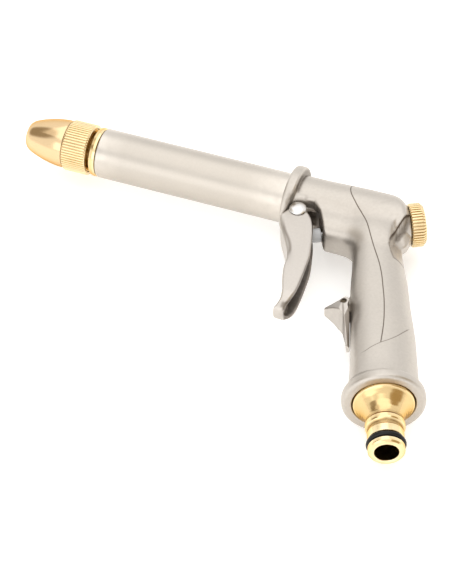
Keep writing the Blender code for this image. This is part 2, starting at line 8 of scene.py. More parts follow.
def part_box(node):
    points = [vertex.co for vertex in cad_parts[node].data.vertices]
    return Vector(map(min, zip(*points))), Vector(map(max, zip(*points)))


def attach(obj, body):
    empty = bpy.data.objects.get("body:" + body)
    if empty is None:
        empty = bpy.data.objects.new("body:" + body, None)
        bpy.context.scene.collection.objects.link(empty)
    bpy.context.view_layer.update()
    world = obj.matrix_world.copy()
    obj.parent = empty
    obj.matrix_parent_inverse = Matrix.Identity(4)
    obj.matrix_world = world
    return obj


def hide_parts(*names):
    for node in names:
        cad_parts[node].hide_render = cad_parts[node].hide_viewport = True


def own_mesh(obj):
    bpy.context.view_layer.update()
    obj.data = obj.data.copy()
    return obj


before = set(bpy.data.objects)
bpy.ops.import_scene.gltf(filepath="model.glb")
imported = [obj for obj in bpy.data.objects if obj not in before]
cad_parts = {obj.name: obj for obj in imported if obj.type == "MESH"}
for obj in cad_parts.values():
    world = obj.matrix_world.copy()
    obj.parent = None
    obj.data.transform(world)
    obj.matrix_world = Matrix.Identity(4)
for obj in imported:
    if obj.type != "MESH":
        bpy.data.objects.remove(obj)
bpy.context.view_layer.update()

# ------------------------------------------------------------------ the frame
# Working millimetres: the X axis is the barrel's centre line, as in the CAD.
_blo, _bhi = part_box("barrel_tube")
_rlo, _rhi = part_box("body_casting")
SHIFT = (27.716, (_blo.y + _bhi.y) * 500.0, (_blo.z + _bhi.z) * 500.0)
MM = 0.001

KA = math.radians(28.0)
DK = (math.cos(KA), math.sin(KA))
K0 = (47.0, 1.64)
DHA = math.radians(-69.0)
DH = (math.cos(DHA), math.sin(DHA))
E = (70.4, -104.4)
PIVOT = (-1.8, -12.0)
CATCH = (36.4, -58.8)


def V(x, y, z=0.0):
    return Vector(((x + SHIFT[0]) * MM, (y + SHIFT[1]) * MM, (z + SHIFT[2]) * MM))


def on_valve(s, w=0.0, z=0.0):
    return (K0[0] + s * DK[0] - w * DK[1], K0[1] + s * DK[1] + w * DK[0], z)


def on_handle(t, u=0.0, z=0.0):
    return (E[0] + t * DH[0] - u * DH[1], E[1] + t * DH[1] + u * DH[0], z)


# ======================================================== distance-field tools
# BEGIN FIELD
F = np.float32


def smin(a, b, k):
    h = np.maximum(k - np.abs(a - b), 0.0) / k
    return np.minimum(a, b) - h * h * (k * 0.25)


def smax(a, b, k):
    h = np.maximum(k - np.abs(a - b), 0.0) / k
    return np.maximum(a, b) + h * h * (k * 0.25)


def poly2(pts, X, Y):
    """Signed distance to a closed outline, negative inside."""
    best = np.full(np.broadcast(X, Y).shape, 1e9, F)
    sign = np.ones(best.shape, bool)
    n = len(pts)
    for i in range(n):
        ax, ay = pts[i]
        bx, by = pts[(i + 1) % n]
        ex, ey = bx - ax, by - ay
        L = ex * ex + ey * ey
        if L < 1e-12:
            continue
        wx, wy = X - ax, Y - ay
        t = np.clip((wx * ex + wy * ey) / L, 0.0, 1.0)
        dx, dy = wx - ex * t, wy - ey * t
        best = np.minimum(best, dx * dx + dy * dy)
        c1 = Y >= ay
        c2 = Y < by
        c3 = ex * wy > ey * wx
        flip = (c1 & c2 & c3) | (~c1 & ~c2 & ~c3)
        sign ^= flip
    d = np.sqrt(best)
    return np.where(sign, d, -d).astype(F)


def line2(pts, X, Y):
    """Distance to an open line, and the share of its length at the nearest point."""
    best = np.full(np.broadcast(X, Y).shape, 1e9, F)
    share = np.zeros(best.shape, F)
    seg = [math.dist(a, b) for a, b in zip(pts[:-1], pts[1:])]
    total = sum(seg)
    done = 0.0
    for (ax, ay), (bx, by), L in zip(pts[:-1], pts[1:], seg):
        ex, ey = bx - ax, by - ay
        wx, wy = X - ax, Y - ay
        t = np.clip((wx * ex + wy * ey) / (L * L), 0.0, 1.0)
        d = (wx - ex * t) ** 2 + (wy - ey * t) ** 2
        near = d < best
        best = np.where(near, d, best)
        share = np.where(near, (done + t * L) / total, share)
        done += L
    return np.sqrt(best), share


def spline(pts, n=6, closed=False):
    """Catmull-Rom through the points."""
    out = []
    m = len(pts)
    last = m if closed else m - 1
    for i in range(last):
        p1, p2 = pts[i], pts[(i + 1) % m]
        p0 = pts[(i - 1) % m] if closed or i > 0 else (2 * p1[0] - p2[0], 2 * p1[1] - p2[1])
        p3 = pts[(i + 2) % m] if closed or i + 2 < m else (2 * p2[0] - p1[0], 2 * p2[1] - p1[1])
        for j in range(n):
            t = j / n
            out.append(tuple(0.5 * (2 * b + (c - a) * t + (2 * a - 5 * b + 4 * c - d) * t * t
                                    + (3 * b - a - 3 * c + d) * t ** 3)
                             for a, b, c, d in zip(p0, p1, p2, p3)))
    if not closed:
        out.append(tuple(pts[-1]))
    return out


def prism(d2, dz, r=0.0):
    """An outline's distance and a thickness distance made one, edges rounded by r."""
    a, b = d2 + r, dz + r
    return np.minimum(np.maximum(a, b), 0.0) + np.sqrt(np.maximum(a, 0.0) ** 2
                                                       + np.maximum(b, 0.0) ** 2) - r


def oval(p, a, b, ha, hb):
    """Distance to a superellipse with half sizes ha, hb, measured from its middle."""
    g = ((np.abs(a) / ha) ** p + (np.abs(b) / hb) ** p) ** (1.0 / p)
    rho = np.sqrt(a * a + b * b)
    return (rho * (1.0 - 1.0 / np.maximum(g, 0.05))).astype(F)


def arc(cx, cy, r, a0, a1, n):
    return [(cx + r * math.cos(math.radians(a0 + (a1 - a0) * i / n)),
             cy + r * math.sin(math.radians(a0 + (a1 - a0) * i / n))) for i in range(n + 1)]


HANDLE = [(-104.0, -7.0, 9.0, 8.5), (-96.0, -9.0, 10.6, 10.0), (-87.0, -10.2, 11.9, 11.0),
          (-75.0, -11.2, 12.9, 11.4), (-66.0, -12.0, 13.6, 11.8), (-53.0, -12.5, 14.1, 12.3),
          (-35.0, -13.2, 15.2, 13.4), (-20.0, -13.9, 15.3, 14.3), (-12.0, -14.6, 15.4, 14.8),
          (-5.5, -15.6, 15.6, 15.6), (-3.0, -15.9, 15.9, 15.9)]
SLOT = [(4.4, -7.3), (8.3, -10.6), (10.9, -15.0), (15.2, -23.2), (15.2, -34.0), (-8.7, -34.0),
        (-8.7, -18.0), (-7.8, -16.0), (-6.7, -13.7), (-6.45, -11.4), (-5.75, -9.45), (-4.5, -8.1),
        (-2.8, -7.4), (-1.2, -7.2)]
STEP = [(48.7, 2.0), (47.6, -1.8), (46.5, -5.7), (45.4, -9.0), (44.8, -11.5), (44.5, -15.0),
        (44.5, -18.7), (45.0, -22.1), (47.0, -25.3), (49.5, -29.2)]
GROOVES = [  # points, share of the length over which each end fades in and out
    ([(18.6, 12.8), (17.9, 9.2), (17.7, 5.5), (19.4, 0.6), (23.6, -4.5), (27.6, -8.4),
      (31.2, -12.8), (36.2, -21.2), (40.5, -28.4), (44.8, -35.4), (48.4, -42.5), (51.5, -49.9),
      (54.1, -56.3), (56.3, -62.6), (58.2, -68.7), (59.8, -74.9), (61.5, -82.9)],
     0.0, 0.0),
    ([(54.8, -90.8), (56.8, -89.2), (58.8, -86.4), (61.5, -83.1), (64.3, -80.2), (66.7, -76.3),
      (68.5, -70.9), (69.4, -66.5)], 0.10, 0.10),
]


def handle_at(T):
    """Front, back and half width of the handle at T, smoothly."""
    rows = np.array(HANDLE)
    fine = np.array(spline([tuple(r[[0, 1]]) for r in rows], 10))
    front = np.interp(T, fine[:, 0], fine[:, 1])
    fine = np.array(spline([tuple(r[[0, 2]]) for r in rows], 10))
    back = np.interp(T, fine[:, 0], fine[:, 1])
    fine = np.array(spline([tuple(r[[0, 3]]) for r in rows], 10))
    half = np.interp(T, fine[:, 0], fine[:, 1])
    return front.astype(F), back.astype(F), half.astype(F)


def casting_field(X, Y, Z):
    """Returns the field and the painted shade that lies in its corners."""
    Z = np.abs(Z)
    rX = np.sqrt(Y * Y + Z * Z)
    S = (X - K0[0]) * DK[0] + (Y - K0[1]) * DK[1]
    Wv = -(X - K0[0]) * DK[1] + (Y - K0[1]) * DK[0]
    rV = np.sqrt(Wv * Wv + Z * Z)
    T = (X - E[0]) * DH[0] + (Y - E[1]) * DH[1]
    U = -(X - E[0]) * DH[1] + (Y - E[1]) * DH[0]
    rH = np.sqrt(U * U + Z * Z)

    # housing, cut at the rear by a soft cone round the valve axis
    R = 12.4 + 0.6 * np.clip((X - 6.0) / 20.0, 0.0, 1.0)
    housing = np.maximum(rX - R, -8.0 - X)
    shaper = smax(S + 0.55, ((rV - 10.4) * 2.1 + (S + 0.9) * 3.6) / 4.168, 0.8)
    shaper = smax(shaper, ((rV - 14.0) * 42.0 + (S + 3.0) * 46.0) / 62.3, 1.6)
    housing = smax(housing, shaper, 1.6)
    # ring flange
    rim = prism(rX - 16.1, np.abs(X + 7.4) - 2.5, 1.25)
    # valve block
    hz = 9.4 + 1.2 * np.clip((X - 20.0) / 14.0, 0.0, 1.0)
    top, bottom, yc = 0.0, -21.9, -11.0
    block = oval(3.0, Y - yc, Z, 10.95, hz)
    block = smax(block, -(S + 40.4), 0.9)
    block = smax(block, X - 42.0, 1.0)
    solid = smin(housing, block, 2.2)
    # boss under the knob
    boss = prism(rV - 9.6, np.abs(S + 10.7) - 10.35, 0.6)
    # handle
    uf, ub, hw = handle_at(T[:, :, :1])
    middle = (uf + ub) / 2
    grip = oval(np.where(U < middle, 2.8, 2.2), U - middle, Z, (ub - uf) / 2, hw)
    grip = np.maximum(grip, np.maximum(T + 2.8, -104.0 - T))
    solid = smin(solid, grip, 6.5)
    # the step round the boss: the wall falls back behind a sharp line
    step = poly2(STEP + [(70.0, -29.2), (70.0, 2.0)], X[:, :, :1], Y[:, :, :1])
    depth = 2.6 * np.clip((Y[:, :, :1] + 28.5) / 12.0, 0.0, 1.0) ** 0.8
    inner = solid + depth * np.clip((Z - 2.0) / 3.0, 0.0, 1.0)
    solid = np.maximum(solid, np.minimum(inner, solid + np.maximum(-step, 0.0) * 2.2))
    before = solid
    solid = smin(solid, boss, 0.35)
    end = prism(rH - 18.1, np.abs(T + 2.7) - 2.7, 1.75)
    solid = smin(solid, end, 0.55)
    solid = smin(solid, rim, 0.25)

    # hollow beside the lock catch's tail
    hollow = np.exp(-(((X - 41.6) / 2.6) ** 2 + ((Y + 66.5 + (X - 41.6) * 0.9) / 7.5) ** 2))
    solid = solid + 1.3 * hollow * np.clip((Z - 3.0) / 4.0, 0.0, 1.0)

    # painted shade in the corners: behind the ring flange, above the end flange, in the step
    shade_field = 0.85 * np.exp(-((X + 4.3) / 0.75) ** 2) * np.clip((15.6 - rX) / 0.8, 0.0, 1.0)
    shade_field = shade_field * np.clip((Y + 7.5) / 3.0, 0.0, 1.0)
    # painted shade and a painted dark reflection in the finger hollow and beside the catch's tail
    uline = uf + 2.9 - 1.1 * np.clip((T[:, :, :1] + 82.0) / 20.0, 0.0, 1.0)
    band = (np.clip((uline - U) / 1.5, 0.0, 1.0) * np.clip((-59.0 - T) / 4.0, 0.0, 1.0)
            * np.clip((T + 91.0) / 4.0, 0.0, 1.0))
    shade_field = np.maximum(shade_field, 0.52 * band)
    corner = np.exp(-((T + 84.5) / 2.6) ** 2 - ((U - uf - 0.6) / 2.2) ** 2)
    shade_field = np.maximum(shade_field, 0.60 * corner)
    tt = T[:, :, :1]
    uc = -9.4 - 2.8 * np.clip((tt + 43.0) / 15.0, 0.0, 1.0)
    shade = (np.exp(-((U - uc) / 1.5) ** 2) * np.clip((tt + 52.0) / 4.0, 0.0, 1.0)
             * np.clip((-26.0 - tt) / 14.0, 0.0, 1.0))
    near = (np.clip((uc - U) / 1.0, 0.0, 1.0) * np.clip((tt + 50.0) / 4.0, 0.0, 1.0)
            * np.clip((-28.0 - tt) / 10.0, 0.0, 1.0))
    shade_field = np.maximum(shade_field, np.maximum(0.40 * shade, 0.20 * near) * (Z > 1.0))
    shade_field = np.maximum(shade_field, 0.8 * np.exp(-((T + 5.75) / 0.42) ** 2)
                      * np.clip((17.6 - rH) / 0.8, 0.0, 1.0))
    # painted shade on the step's floor beside the boss, and a painted shade line along the step's edge
    floor = np.clip((-step - 0.35) / 0.4, 0.0, 1.0) * np.clip((Z - 1.5) / 1.5, 0.0, 1.0)
    lens = (np.clip((Wv + 9.2 + 2.8 * (48.4 - X)) / 1.2, 0.0, 1.0)
            * np.clip((Wv + 14.0) / 1.5, 0.0, 1.0))
    shade_field = np.maximum(shade_field, 0.60 * floor * lens)
    line = np.exp(-((np.abs(step) - 0.0) / 0.30) ** 2) * np.clip((Z - 4.0) / 1.5, 0.0, 1.0)
    shade_field = np.maximum(shade_field, 0.85 * line * np.clip((-step + 0.45) / 0.3, 0.0, 1.0))
    # slots for the trigger's ears
    slot = poly2(SLOT, X[:, :, :1], Y[:, :, :1])
    soft_edge = (0.7 + 1.6 * np.clip((1.5 - X[:, :, :1]) / 2.0, 0.0, 1.0)
                 * np.clip((Y[:, :, :1] + 16.0) / 4.0, 0.0, 1.0))
    solid = smax(solid, -np.maximum(slot, 4.6 - Z), soft_edge)
    # lugs
    px, py = PIVOT
    lug = poly2([(-9.3, -5.0), (-9.3, -13.6), (-6.2, -13.6)] + arc(px, py, 4.4, 200.0, 360.0, 12)
                + [(px + 4.4, -5.0)], X[:, :, :1], Y[:, :, :1])
    solid = smin(solid, prism(lug, Z - 4.6, 0.5), 0.6)
    cx, cy = CATCH
    lug = poly2(arc(cx, cy, 2.5, 115.0, 270.0, 12) + [(cx + 7.0, cy - 2.5), (cx + 7.0, cy + 8.0),
                                                      (cx + 1.4, cy + 6.6)],
                X[:, :, :1], Y[:, :, :1])
    solid = smin(solid, prism(lug, Z - 3.6, 0.4), 1.3)
    # opening behind the pivot lug
    mid = poly2([(px + 4.23, -8.7), (8.0, -8.7), on_valve(-40.47, 6.1)[:2],
                 on_valve(-40.47, -9.0)[:2], (12.0, -33.0), (px + 4.23, -33.0)],
                X[:, :, :1], Y[:, :, :1])
    solid = smax(solid, -np.maximum(mid, Z - 5.2), 0.5)
    # bores
    socket = np.maximum(rX - 7.7, np.abs(X + 6.0) - 8.6)
    socket = np.minimum(socket, np.maximum(rX - 12.0, np.abs(X + 12.0) - 5.3))
    solid = smax(solid, -socket, 0.5)
    bore = np.maximum(rV - 7.6, np.abs(S - 0.0) - 9.0)
    bore = np.minimum(bore, np.maximum(rV - 6.4, np.abs(S + 14.0) - 8.5))
    bore = np.minimum(bore, np.maximum(rV - 3.8, np.abs(S + 25.4) - 4.0))
    bore = np.minimum(bore, np.maximum(rV - 4.3, np.abs(S + 38.0) - 7.0))
    bore = np.minimum(bore, np.maximum(rV - 3.2, np.abs(S + 30.2) - 2.0))
    cup = np.maximum(rH - 13.75, np.abs(T - 0.0) - 9.0)
    cup = np.minimum(cup, np.maximum(rH - 10.7, np.abs(T + 12.0) - 8.0))
    cup = np.minimum(cup, np.maximum(rH - 5.0, np.abs(T + 30.0) - 20.0))
    solid = smax(solid, -np.minimum(bore, cup), 0.5)
    dp = np.sqrt((X - px) ** 2 + (Y - py) ** 2) - 2.1
    dc = np.sqrt((X - cx) ** 2 + (Y - cy) ** 2) - 1.3
    solid = np.maximum(solid, -dp)
    solid = np.maximum(solid, -np.maximum(dc, Z - 9.0))
    # painted shade on the slots' inner faces and in the opening behind the pivot lug
    shade_field = np.maximum(shade_field, 0.92 * np.clip((0.12 - slot) / 0.12, 0.0, 1.0)
                      * np.clip((11.5 - Z) / 2.0, 0.3, 1.0)
                      * np.clip((X[:, :, :1] - 0.5) / 2.5, 0.0, 1.0))
    shade_field = np.maximum(shade_field, 1.0 * np.clip((0.2 - mid) / 0.2, 0.0, 1.0) * (Z < 5.6))
    # no painted shade on the rounded edge over the rivet; the negative value also holds off the
    # concave-corner painted shade there
    unshaded = (np.clip((1.5 - X) / 1.0, 0.0, 1.0) * np.clip((Y + 14.5) / 1.0, 0.0, 1.0)
             * np.clip((X + 6.5) / 1.0, 0.0, 1.0) * np.clip((-5.5 - Y) / 1.0, 0.0, 1.0)
             * (Z > 4.0))
    shade_field = shade_field * (1.0 - unshaded) - 0.6 * unshaded
    return solid.astype(F), shade_field.astype(F)


FRONT_EDGE = [(-6.2, -13.0), (-7.2, -15.5), (-8.0, -18.2), (-6.2, -23.0), (-3.4, -28.0),
              (-0.4, -33.0), (2.3, -38.0), (3.8, -42.4), (4.2, -46.0), (4.8, -49.5),
              (6.5, -55.5), (8.3, -60.5), (9.2, -64.0), (9.2, -66.3), (8.5, -68.2),
              (7.6, -69.4), (7.6, -70.5), (8.7, -71.0)]
REAR_EDGE = [(10.6, -71.0), (12.0, -69.9), (12.4, -68.6), (12.9, -67.2), (14.0, -64.2),
             (14.6, -60.0), (14.5, -53.0), (13.9, -45.0), (13.2, -38.0), (11.6, -31.0),
             (9.0, -22.0), (6.6, -16.5), (4.2, -13.2)]
INNER = [(-20.0, -6.0), (-20.0, -17.4), (-5.4, -17.4), (-3.4, -23.6), (-0.8, -28.6),
         (2.0, -33.6), (4.6, -38.6), (6.0, -44.0), (7.0, -50.0), (8.9, -56.5),
         (10.6, -61.0), (11.4, -64.5), (11.2, -67.4), (11.0, -69.0), (30.0, -69.0),
         (30.0, -6.0)]


# the crease between the finger strip and the wing, drawn as a painted shade line
CREASE = ([(-6.4, -19.5), (-5.2, -22.5), (-2.5, -27.0), (0.5, -31.0), (2.6, -34.6), (3.8, -38.0),
           (4.2, -41.5)], 0.25, 0.15)


def trigger_field(X, Y, Z):
    Z = np.abs(Z)
    px, py = PIVOT
    x2, y2 = X[:, :, :1], Y[:, :, :1]
    outline = (spline(FRONT_EDGE, 5) + spline(REAR_EDGE, 5)
               + arc(px, py, 4.4, 0.0, 180.0, 16))
    side = poly2(outline, x2, y2)
    front, share = line2(spline(FRONT_EDGE, 5), x2, y2)
    # the finger strip stands proud of the wing, with a hollow behind it
    along = np.clip((-17.0 - y2) / 5.0, 0, 1) * np.clip((y2 + 46.0) / 6.0, 0, 1)
    half = 7.4 - 0.55 * along * np.exp(-(front / 1.6) ** 2)
    # the wing swells gently towards its back edge
    half = half + 0.2 * np.exp(-((x2 - 9.0) / 5.0) ** 2 - ((y2 + 45.0) / 18.0) ** 2) - 0.1
    # the lower end is rounded like a spoon
    fall = np.clip((-60.5 - y2) / 10.5, 0.0, 0.999)
    round_end = np.sqrt(1.0 - fall ** 2)
    half = half * round_end
    solid = prism(side, (Z - half) * (0.35 + 0.65 * round_end), 1.0)
    inner = poly2(INNER[:2] + spline(INNER[2:14], 4) + INNER[14:], x2, y2)
    fall_in = np.clip((-60.5 - y2) / 8.2, 0.0, 0.999)
    channel = np.maximum(inner, (Z - 5.0 * np.sqrt(1.0 - fall_in ** 2))
                         * (0.35 + 0.65 * np.sqrt(1.0 - fall_in ** 2)))
    solid = smax(solid, -channel, 0.7)
    pad = poly2([on_valve(-49.5, 3.2)[:2], on_valve(-49.5, -3.4)[:2], (-1.4, -29.5),
                 (-4.5, -23.8), (-4.0, -20.8)], x2, y2)
    solid = smin(solid, np.maximum(pad, Z - 5.4), 0.6)
    hole = np.sqrt((X - px) ** 2 + (Y - py) ** 2) - 2.08
    solid = smax(solid, -hole, 0.3)
    # painted shade inside the rear channel
    shade_field = 0.62 * np.clip((5.9 - Z) / 0.5, 0, 1) * np.clip((0.7 - inner) / 0.8, 0, 1)
    return solid.astype(F), np.clip(shade_field, 0, 1).astype(F)


LEAF = [(28.6, -62.3), (28.8, -61.3), (31.2, -60.0), (34.2, -57.9), (36.2, -56.0),
        (37.4, -56.0), (38.6, -57.2), (38.8, -60.2),
        on_handle(-48.0, -12.95)[:2], on_handle(-40.0, -13.2)[:2],
        on_handle(-31.5, -13.55)[:2], on_handle(-32.0, -14.9)[:2],
        on_handle(-40.0, -15.2)[:2], on_handle(-47.0, -15.9)[:2],
        on_handle(-49.6, -17.4)[:2], (33.0, -62.9)]


def catch_field(X, Y, Z):
    Z = np.abs(Z)
    cx, cy = CATCH
    x2, y2 = X[:, :, :1], Y[:, :, :1]
    plan = poly2([(28.0, -1.9), (36.0, -7.0), (39.5, -7.0), (46.9, -0.9), (46.9, 0.9),
                  (39.5, 7.0), (36.0, 7.0), (28.0, 1.9)], X, Z)
    leaf2 = poly2(LEAF, x2, y2)
    solid = smax(leaf2, plan, 0.45)
    a = math.radians(125.0)
    slot = poly2(arc(cx, cy, 2.8, 125.0, 270.0, 12)
                 + [(cx + 20.0, cy - 2.8), (cx + 20.0, cy + 16.0),
                    (cx + 16.0 * math.cos(a), cy + 16.0 * math.sin(a))], x2, y2)
    solid = smax(solid, -np.maximum(slot, Z - 3.9), 0.3)
    hole = np.sqrt((X - cx) ** 2 + (Y - cy) ** 2) - 1.28
    solid = smax(solid, -hole, 0.15)
    # painted shade along the tongue's edge, where the tongue meets the tail, and round the pin hole
    edge = np.maximum(np.abs(leaf2), np.abs(plan)) + 0.0 * Z
    shade_field = 0.8 * np.exp(-(edge / 0.34) ** 2) * (X < 36.5) * (Y < -58.5)
    U = -(X - E[0]) * DH[1] + (Y - E[1]) * DH[0]
    T = (X - E[0]) * DH[0] + (Y - E[1]) * DH[1]
    fold = U + 15.75 - 0.55 * np.clip((T + 48.0) / 16.0, 0.0, 1.0)
    shade_field = np.maximum(shade_field, 0.75 * np.exp(-(fold / 0.30) ** 2) * (T > -54.5))
    dc = np.sqrt((X - cx) ** 2 + (Y - cy) ** 2)
    shade_field = np.maximum(shade_field, 0.9 * np.clip((1.75 - dc) / 0.3, 0.0, 1.0))
    return solid.astype(F), shade_field.astype(F)
# END FIELD


def seam(lines, P, reach=1.6):
    """Signed distance to the nearest line in plan, and how strongly it shows."""
    best = np.full(len(P), 9.0)
    show = np.zeros(len(P))
    x, y = P[:, 0], P[:, 1]
    for pts, t0, t1 in lines:
        pts = spline(pts, 8)
        seg = [math.dist(a, b) for a, b in zip(pts[:-1], pts[1:])]
        total = sum(seg)
        done = 0.0
        for (ax, ay), (bx, by), L in zip(pts[:-1], pts[1:], seg):
            ex, ey = (bx - ax) / L, (by - ay) / L
            t = np.clip((x - ax) * ex + (y - ay) * ey, 0.0, L)
            dx, dy = x - ax - ex * t, y - ay - ey * t
            d = np.sqrt(dx * dx + dy * dy)
            side = np.where(ex * (y - ay) - ey * (x - ax) >= 0, 1.0, -1.0)
            near = d < np.abs(best)
            share = (done + t) / total
            fade = np.clip(share / t0, 0, 1) if t0 else (share > 1e-6) * 1.0
            fade = fade * (np.clip((1 - share) / t1, 0, 1) if t1 else (share < 1 - 1e-6) * 1.0)
            best = np.where(near, d * side, best)
            show = np.where(near, fade, show)
            done += L
    show = show * np.clip((reach - np.abs(best)) / (reach * 0.5), 0.0, 1.0)
    return np.clip(best, -3.0, 3.0), show * (np.abs(P[:, 2]) > 0.5)


def mark(ob, lines, label):
    """Writes the line attributes (groove seams, and painted shade lines) of a skin that was built in
    working millimetres.
    """
    mesh = ob.data
    co = np.empty(len(mesh.vertices) * 3, F)
    mesh.vertices.foreach_get("co", co)
    P = co.reshape(-1, 3) / MM - np.array(SHIFT)
    d, show = seam(lines, P)
    for name, values in ((label, d), (label + "_on", show)):
        at = mesh.attributes.new(name, 'FLOAT', 'POINT')
        at.data.foreach_set("value", np.ascontiguousarray(values, dtype=F))


def sample(grid, h, lo, P):
    """Trilinear values of a grid at points."""
    q = (P - lo) / h
    q = np.clip(q, 0.0, np.array(grid.shape) - 1.001)
    i = q.astype(int)
    f = q - i
    i0, j0, k0 = i.T
    fx, fy, fz = f.T
    out = 0.0
    for dx in (0, 1):
        for dy in (0, 1):
            for dz in (0, 1):
                w = ((fx if dx else 1 - fx) * (fy if dy else 1 - fy) * (fz if dz else 1 - fz))
                out = out + w * grid[i0 + dx, j0 + dy, k0 + dz]
    return out


def skin(name, field, lo, hi, h, relax=3):
    """The zero surface of a field that is even in Z, as a smooth mesh (surface nets)."""
    nx, ny = [int(math.ceil((b - a) / h)) + 1 for a, b in zip(lo[:2], hi[:2])]
    nz = int(math.ceil(hi[2] / h)) + 1
    X = (lo[0] + h * np.arange(nx, dtype=F))[:, None, None]
    Y = (lo[1] + h * np.arange(ny, dtype=F))[None, :, None]
    Z = (h * np.arange(nz, dtype=F))[None, None, :]
    X, Y, Z = np.broadcast_arrays(X, Y, Z)
    f, shade_field = field(X, Y, Z)
    f = np.where(np.abs(f) < 1e-5, F(1e-5), f)
    f = np.concatenate([f[:, :, :0:-1], f], axis=2)
    shade_field = np.concatenate([shade_field[:, :, :0:-1], shade_field], axis=2)
    base = np.array([lo[0], lo[1], -(nz - 1) * h])

    inside = f < 0
    shape = tuple(n - 1 for n in f.shape)
    count = np.zeros(shape, np.int8)
    corners = [(a, b, c) for a in (0, 1) for b in (0, 1) for c in (0, 1)]

    def shifted(g, c):
        return g[c[0]:c[0] + shape[0], c[1]:c[1] + shape[1], c[2]:c[2] + shape[2]]

    for c in corners:
        count += shifted(inside, c)
    cells = np.argwhere((count > 0) & (count < 8))
    index = np.full(shape, -1, np.int64)
    index[tuple(cells.T)] = np.arange(len(cells))
    vals = {c: f[cells[:, 0] + c[0], cells[:, 1] + c[1], cells[:, 2] + c[2]] for c in corners}
    total = np.zeros((len(cells), 3))
    hits = np.zeros(len(cells))
    for a in corners:
        for axis in range(3):
            if a[axis]:
                continue
            b = list(a)
            b[axis] = 1
            va, vb = vals[a], vals[tuple(b)]
            cross = (va < 0) != (vb < 0)
            t = np.where(cross, va / np.where(cross, va - vb, 1.0), 0.0)
            p = np.tile(np.array(a, float), (len(cells), 1))
            p[:, axis] += t
            total += p * cross[:, None]
            hits += cross
    P = base + h * (cells + total / hits[:, None])

    quads = []
    for axis in range(3):
        o1, o2 = (axis + 1) % 3, (axis + 2) % 3
        sl0 = [slice(1, -1)] * 3
        sl1 = [slice(1, -1)] * 3
        sl0[axis] = slice(0, -1)
        sl1[axis] = slice(1, None)
        A, B = inside[tuple(sl0)], inside[tuple(sl1)]
        for sense in (True, False):
            at = np.argwhere((A == sense) & (B != sense))
            if not len(at):
                continue
            at[:, o1] += 1
            at[:, o2] += 1
            ring = []
            for d1, d2 in ((0, 0), (-1, 0), (-1, -1), (0, -1)):
                q = at.copy()
                q[:, o1] += d1
                q[:, o2] += d2
                ring.append(index[tuple(q.T)])
            if not sense:
                ring = ring[::-1]
            quads.append(np.stack(ring, 1))
    quads = np.concatenate(quads)
    quads = quads[(quads >= 0).all(1)]

    def gradient(P):
        e = h * 0.6
        g = np.stack([sample(f, h, base, P + d) - sample(f, h, base, P - d)
                      for d in np.eye(3) * e], 1)
        return g / (2 * e)

    for _ in range(relax):
        tot = np.zeros_like(P)
        n = np.zeros(len(P))
        for i in range(4):
            a, b = quads[:, i], quads[:, (i + 1) % 4]
            for k in range(3):
                tot[:, k] += np.bincount(a, P[b, k], len(P)) + np.bincount(b, P[a, k], len(P))
            n += np.bincount(a, minlength=len(P)) + np.bincount(b, minlength=len(P))
        step = tot / np.maximum(n, 1)[:, None] - P
        g = gradient(P)
        gn = g / np.maximum(np.linalg.norm(g, axis=1), 1e-6)[:, None]
        step -= gn * (step * gn).sum(1)[:, None]
        P = P + 0.6 * step
        for _ in range(2):
            g = gradient(P)
            d = sample(f, h, base, P)
            move = g * (d / np.maximum((g * g).sum(1), 0.15))[:, None]
            length = np.linalg.norm(move, axis=1)
            move *= np.minimum(1.0, 0.5 * h / np.maximum(length, 1e-9))[:, None]
            P = P - move
    g = gradient(P)
    N = g / np.maximum(np.linalg.norm(g, axis=1), 1e-6)[:, None]

    # how sharply the surface turns outwards, for the worn edges that also carry a painted highlight,
    # and inwards, for painted shade in concave corners
    turn = np.zeros(len(P))
    n = np.zeros(len(P))
    for i in range(4):
        a, b = quads[:, i], quads[:, (i + 1) % 4]
        d = P[b] - P[a]
        L = np.maximum(np.linalg.norm(d, axis=1), 1e-6)
        k = ((N[b] - N[a]) * d).sum(1) / (L * L)
        turn += np.bincount(a, k, len(P)) + np.bincount(b, k, len(P))
        n += np.bincount(a, minlength=len(P)) + np.bincount(b, minlength=len(P))
    turn /= np.maximum(n, 1)
    for _ in range(2):
        tot = np.zeros(len(P))
        for i in range(4):
            a, b = quads[:, i], quads[:, (i + 1) % 4]
            tot += np.bincount(a, turn[b], len(P)) + np.bincount(b, turn[a], len(P))
        turn = 0.5 * turn + 0.5 * tot / np.maximum(n, 1)
    # wear with a painted highlight on sharp convex edges; painted shade in concave corners, added to
    # the field's painted shade
    wear_and_sheen = np.clip((turn - 0.28) / 0.5, 0, 1)
    hole = np.clip((-turn - 0.30) / 0.7, 0, 1)
    lying = sample(shade_field, h, base, P)
    painted_shade = np.clip(np.maximum(lying, 0.7 * hole * (lying > -0.15)), 0, 1)
    co = (P + np.array(SHIFT)) * MM
    return build(name, co, quads, N, wear_and_sheen, painted_shade)


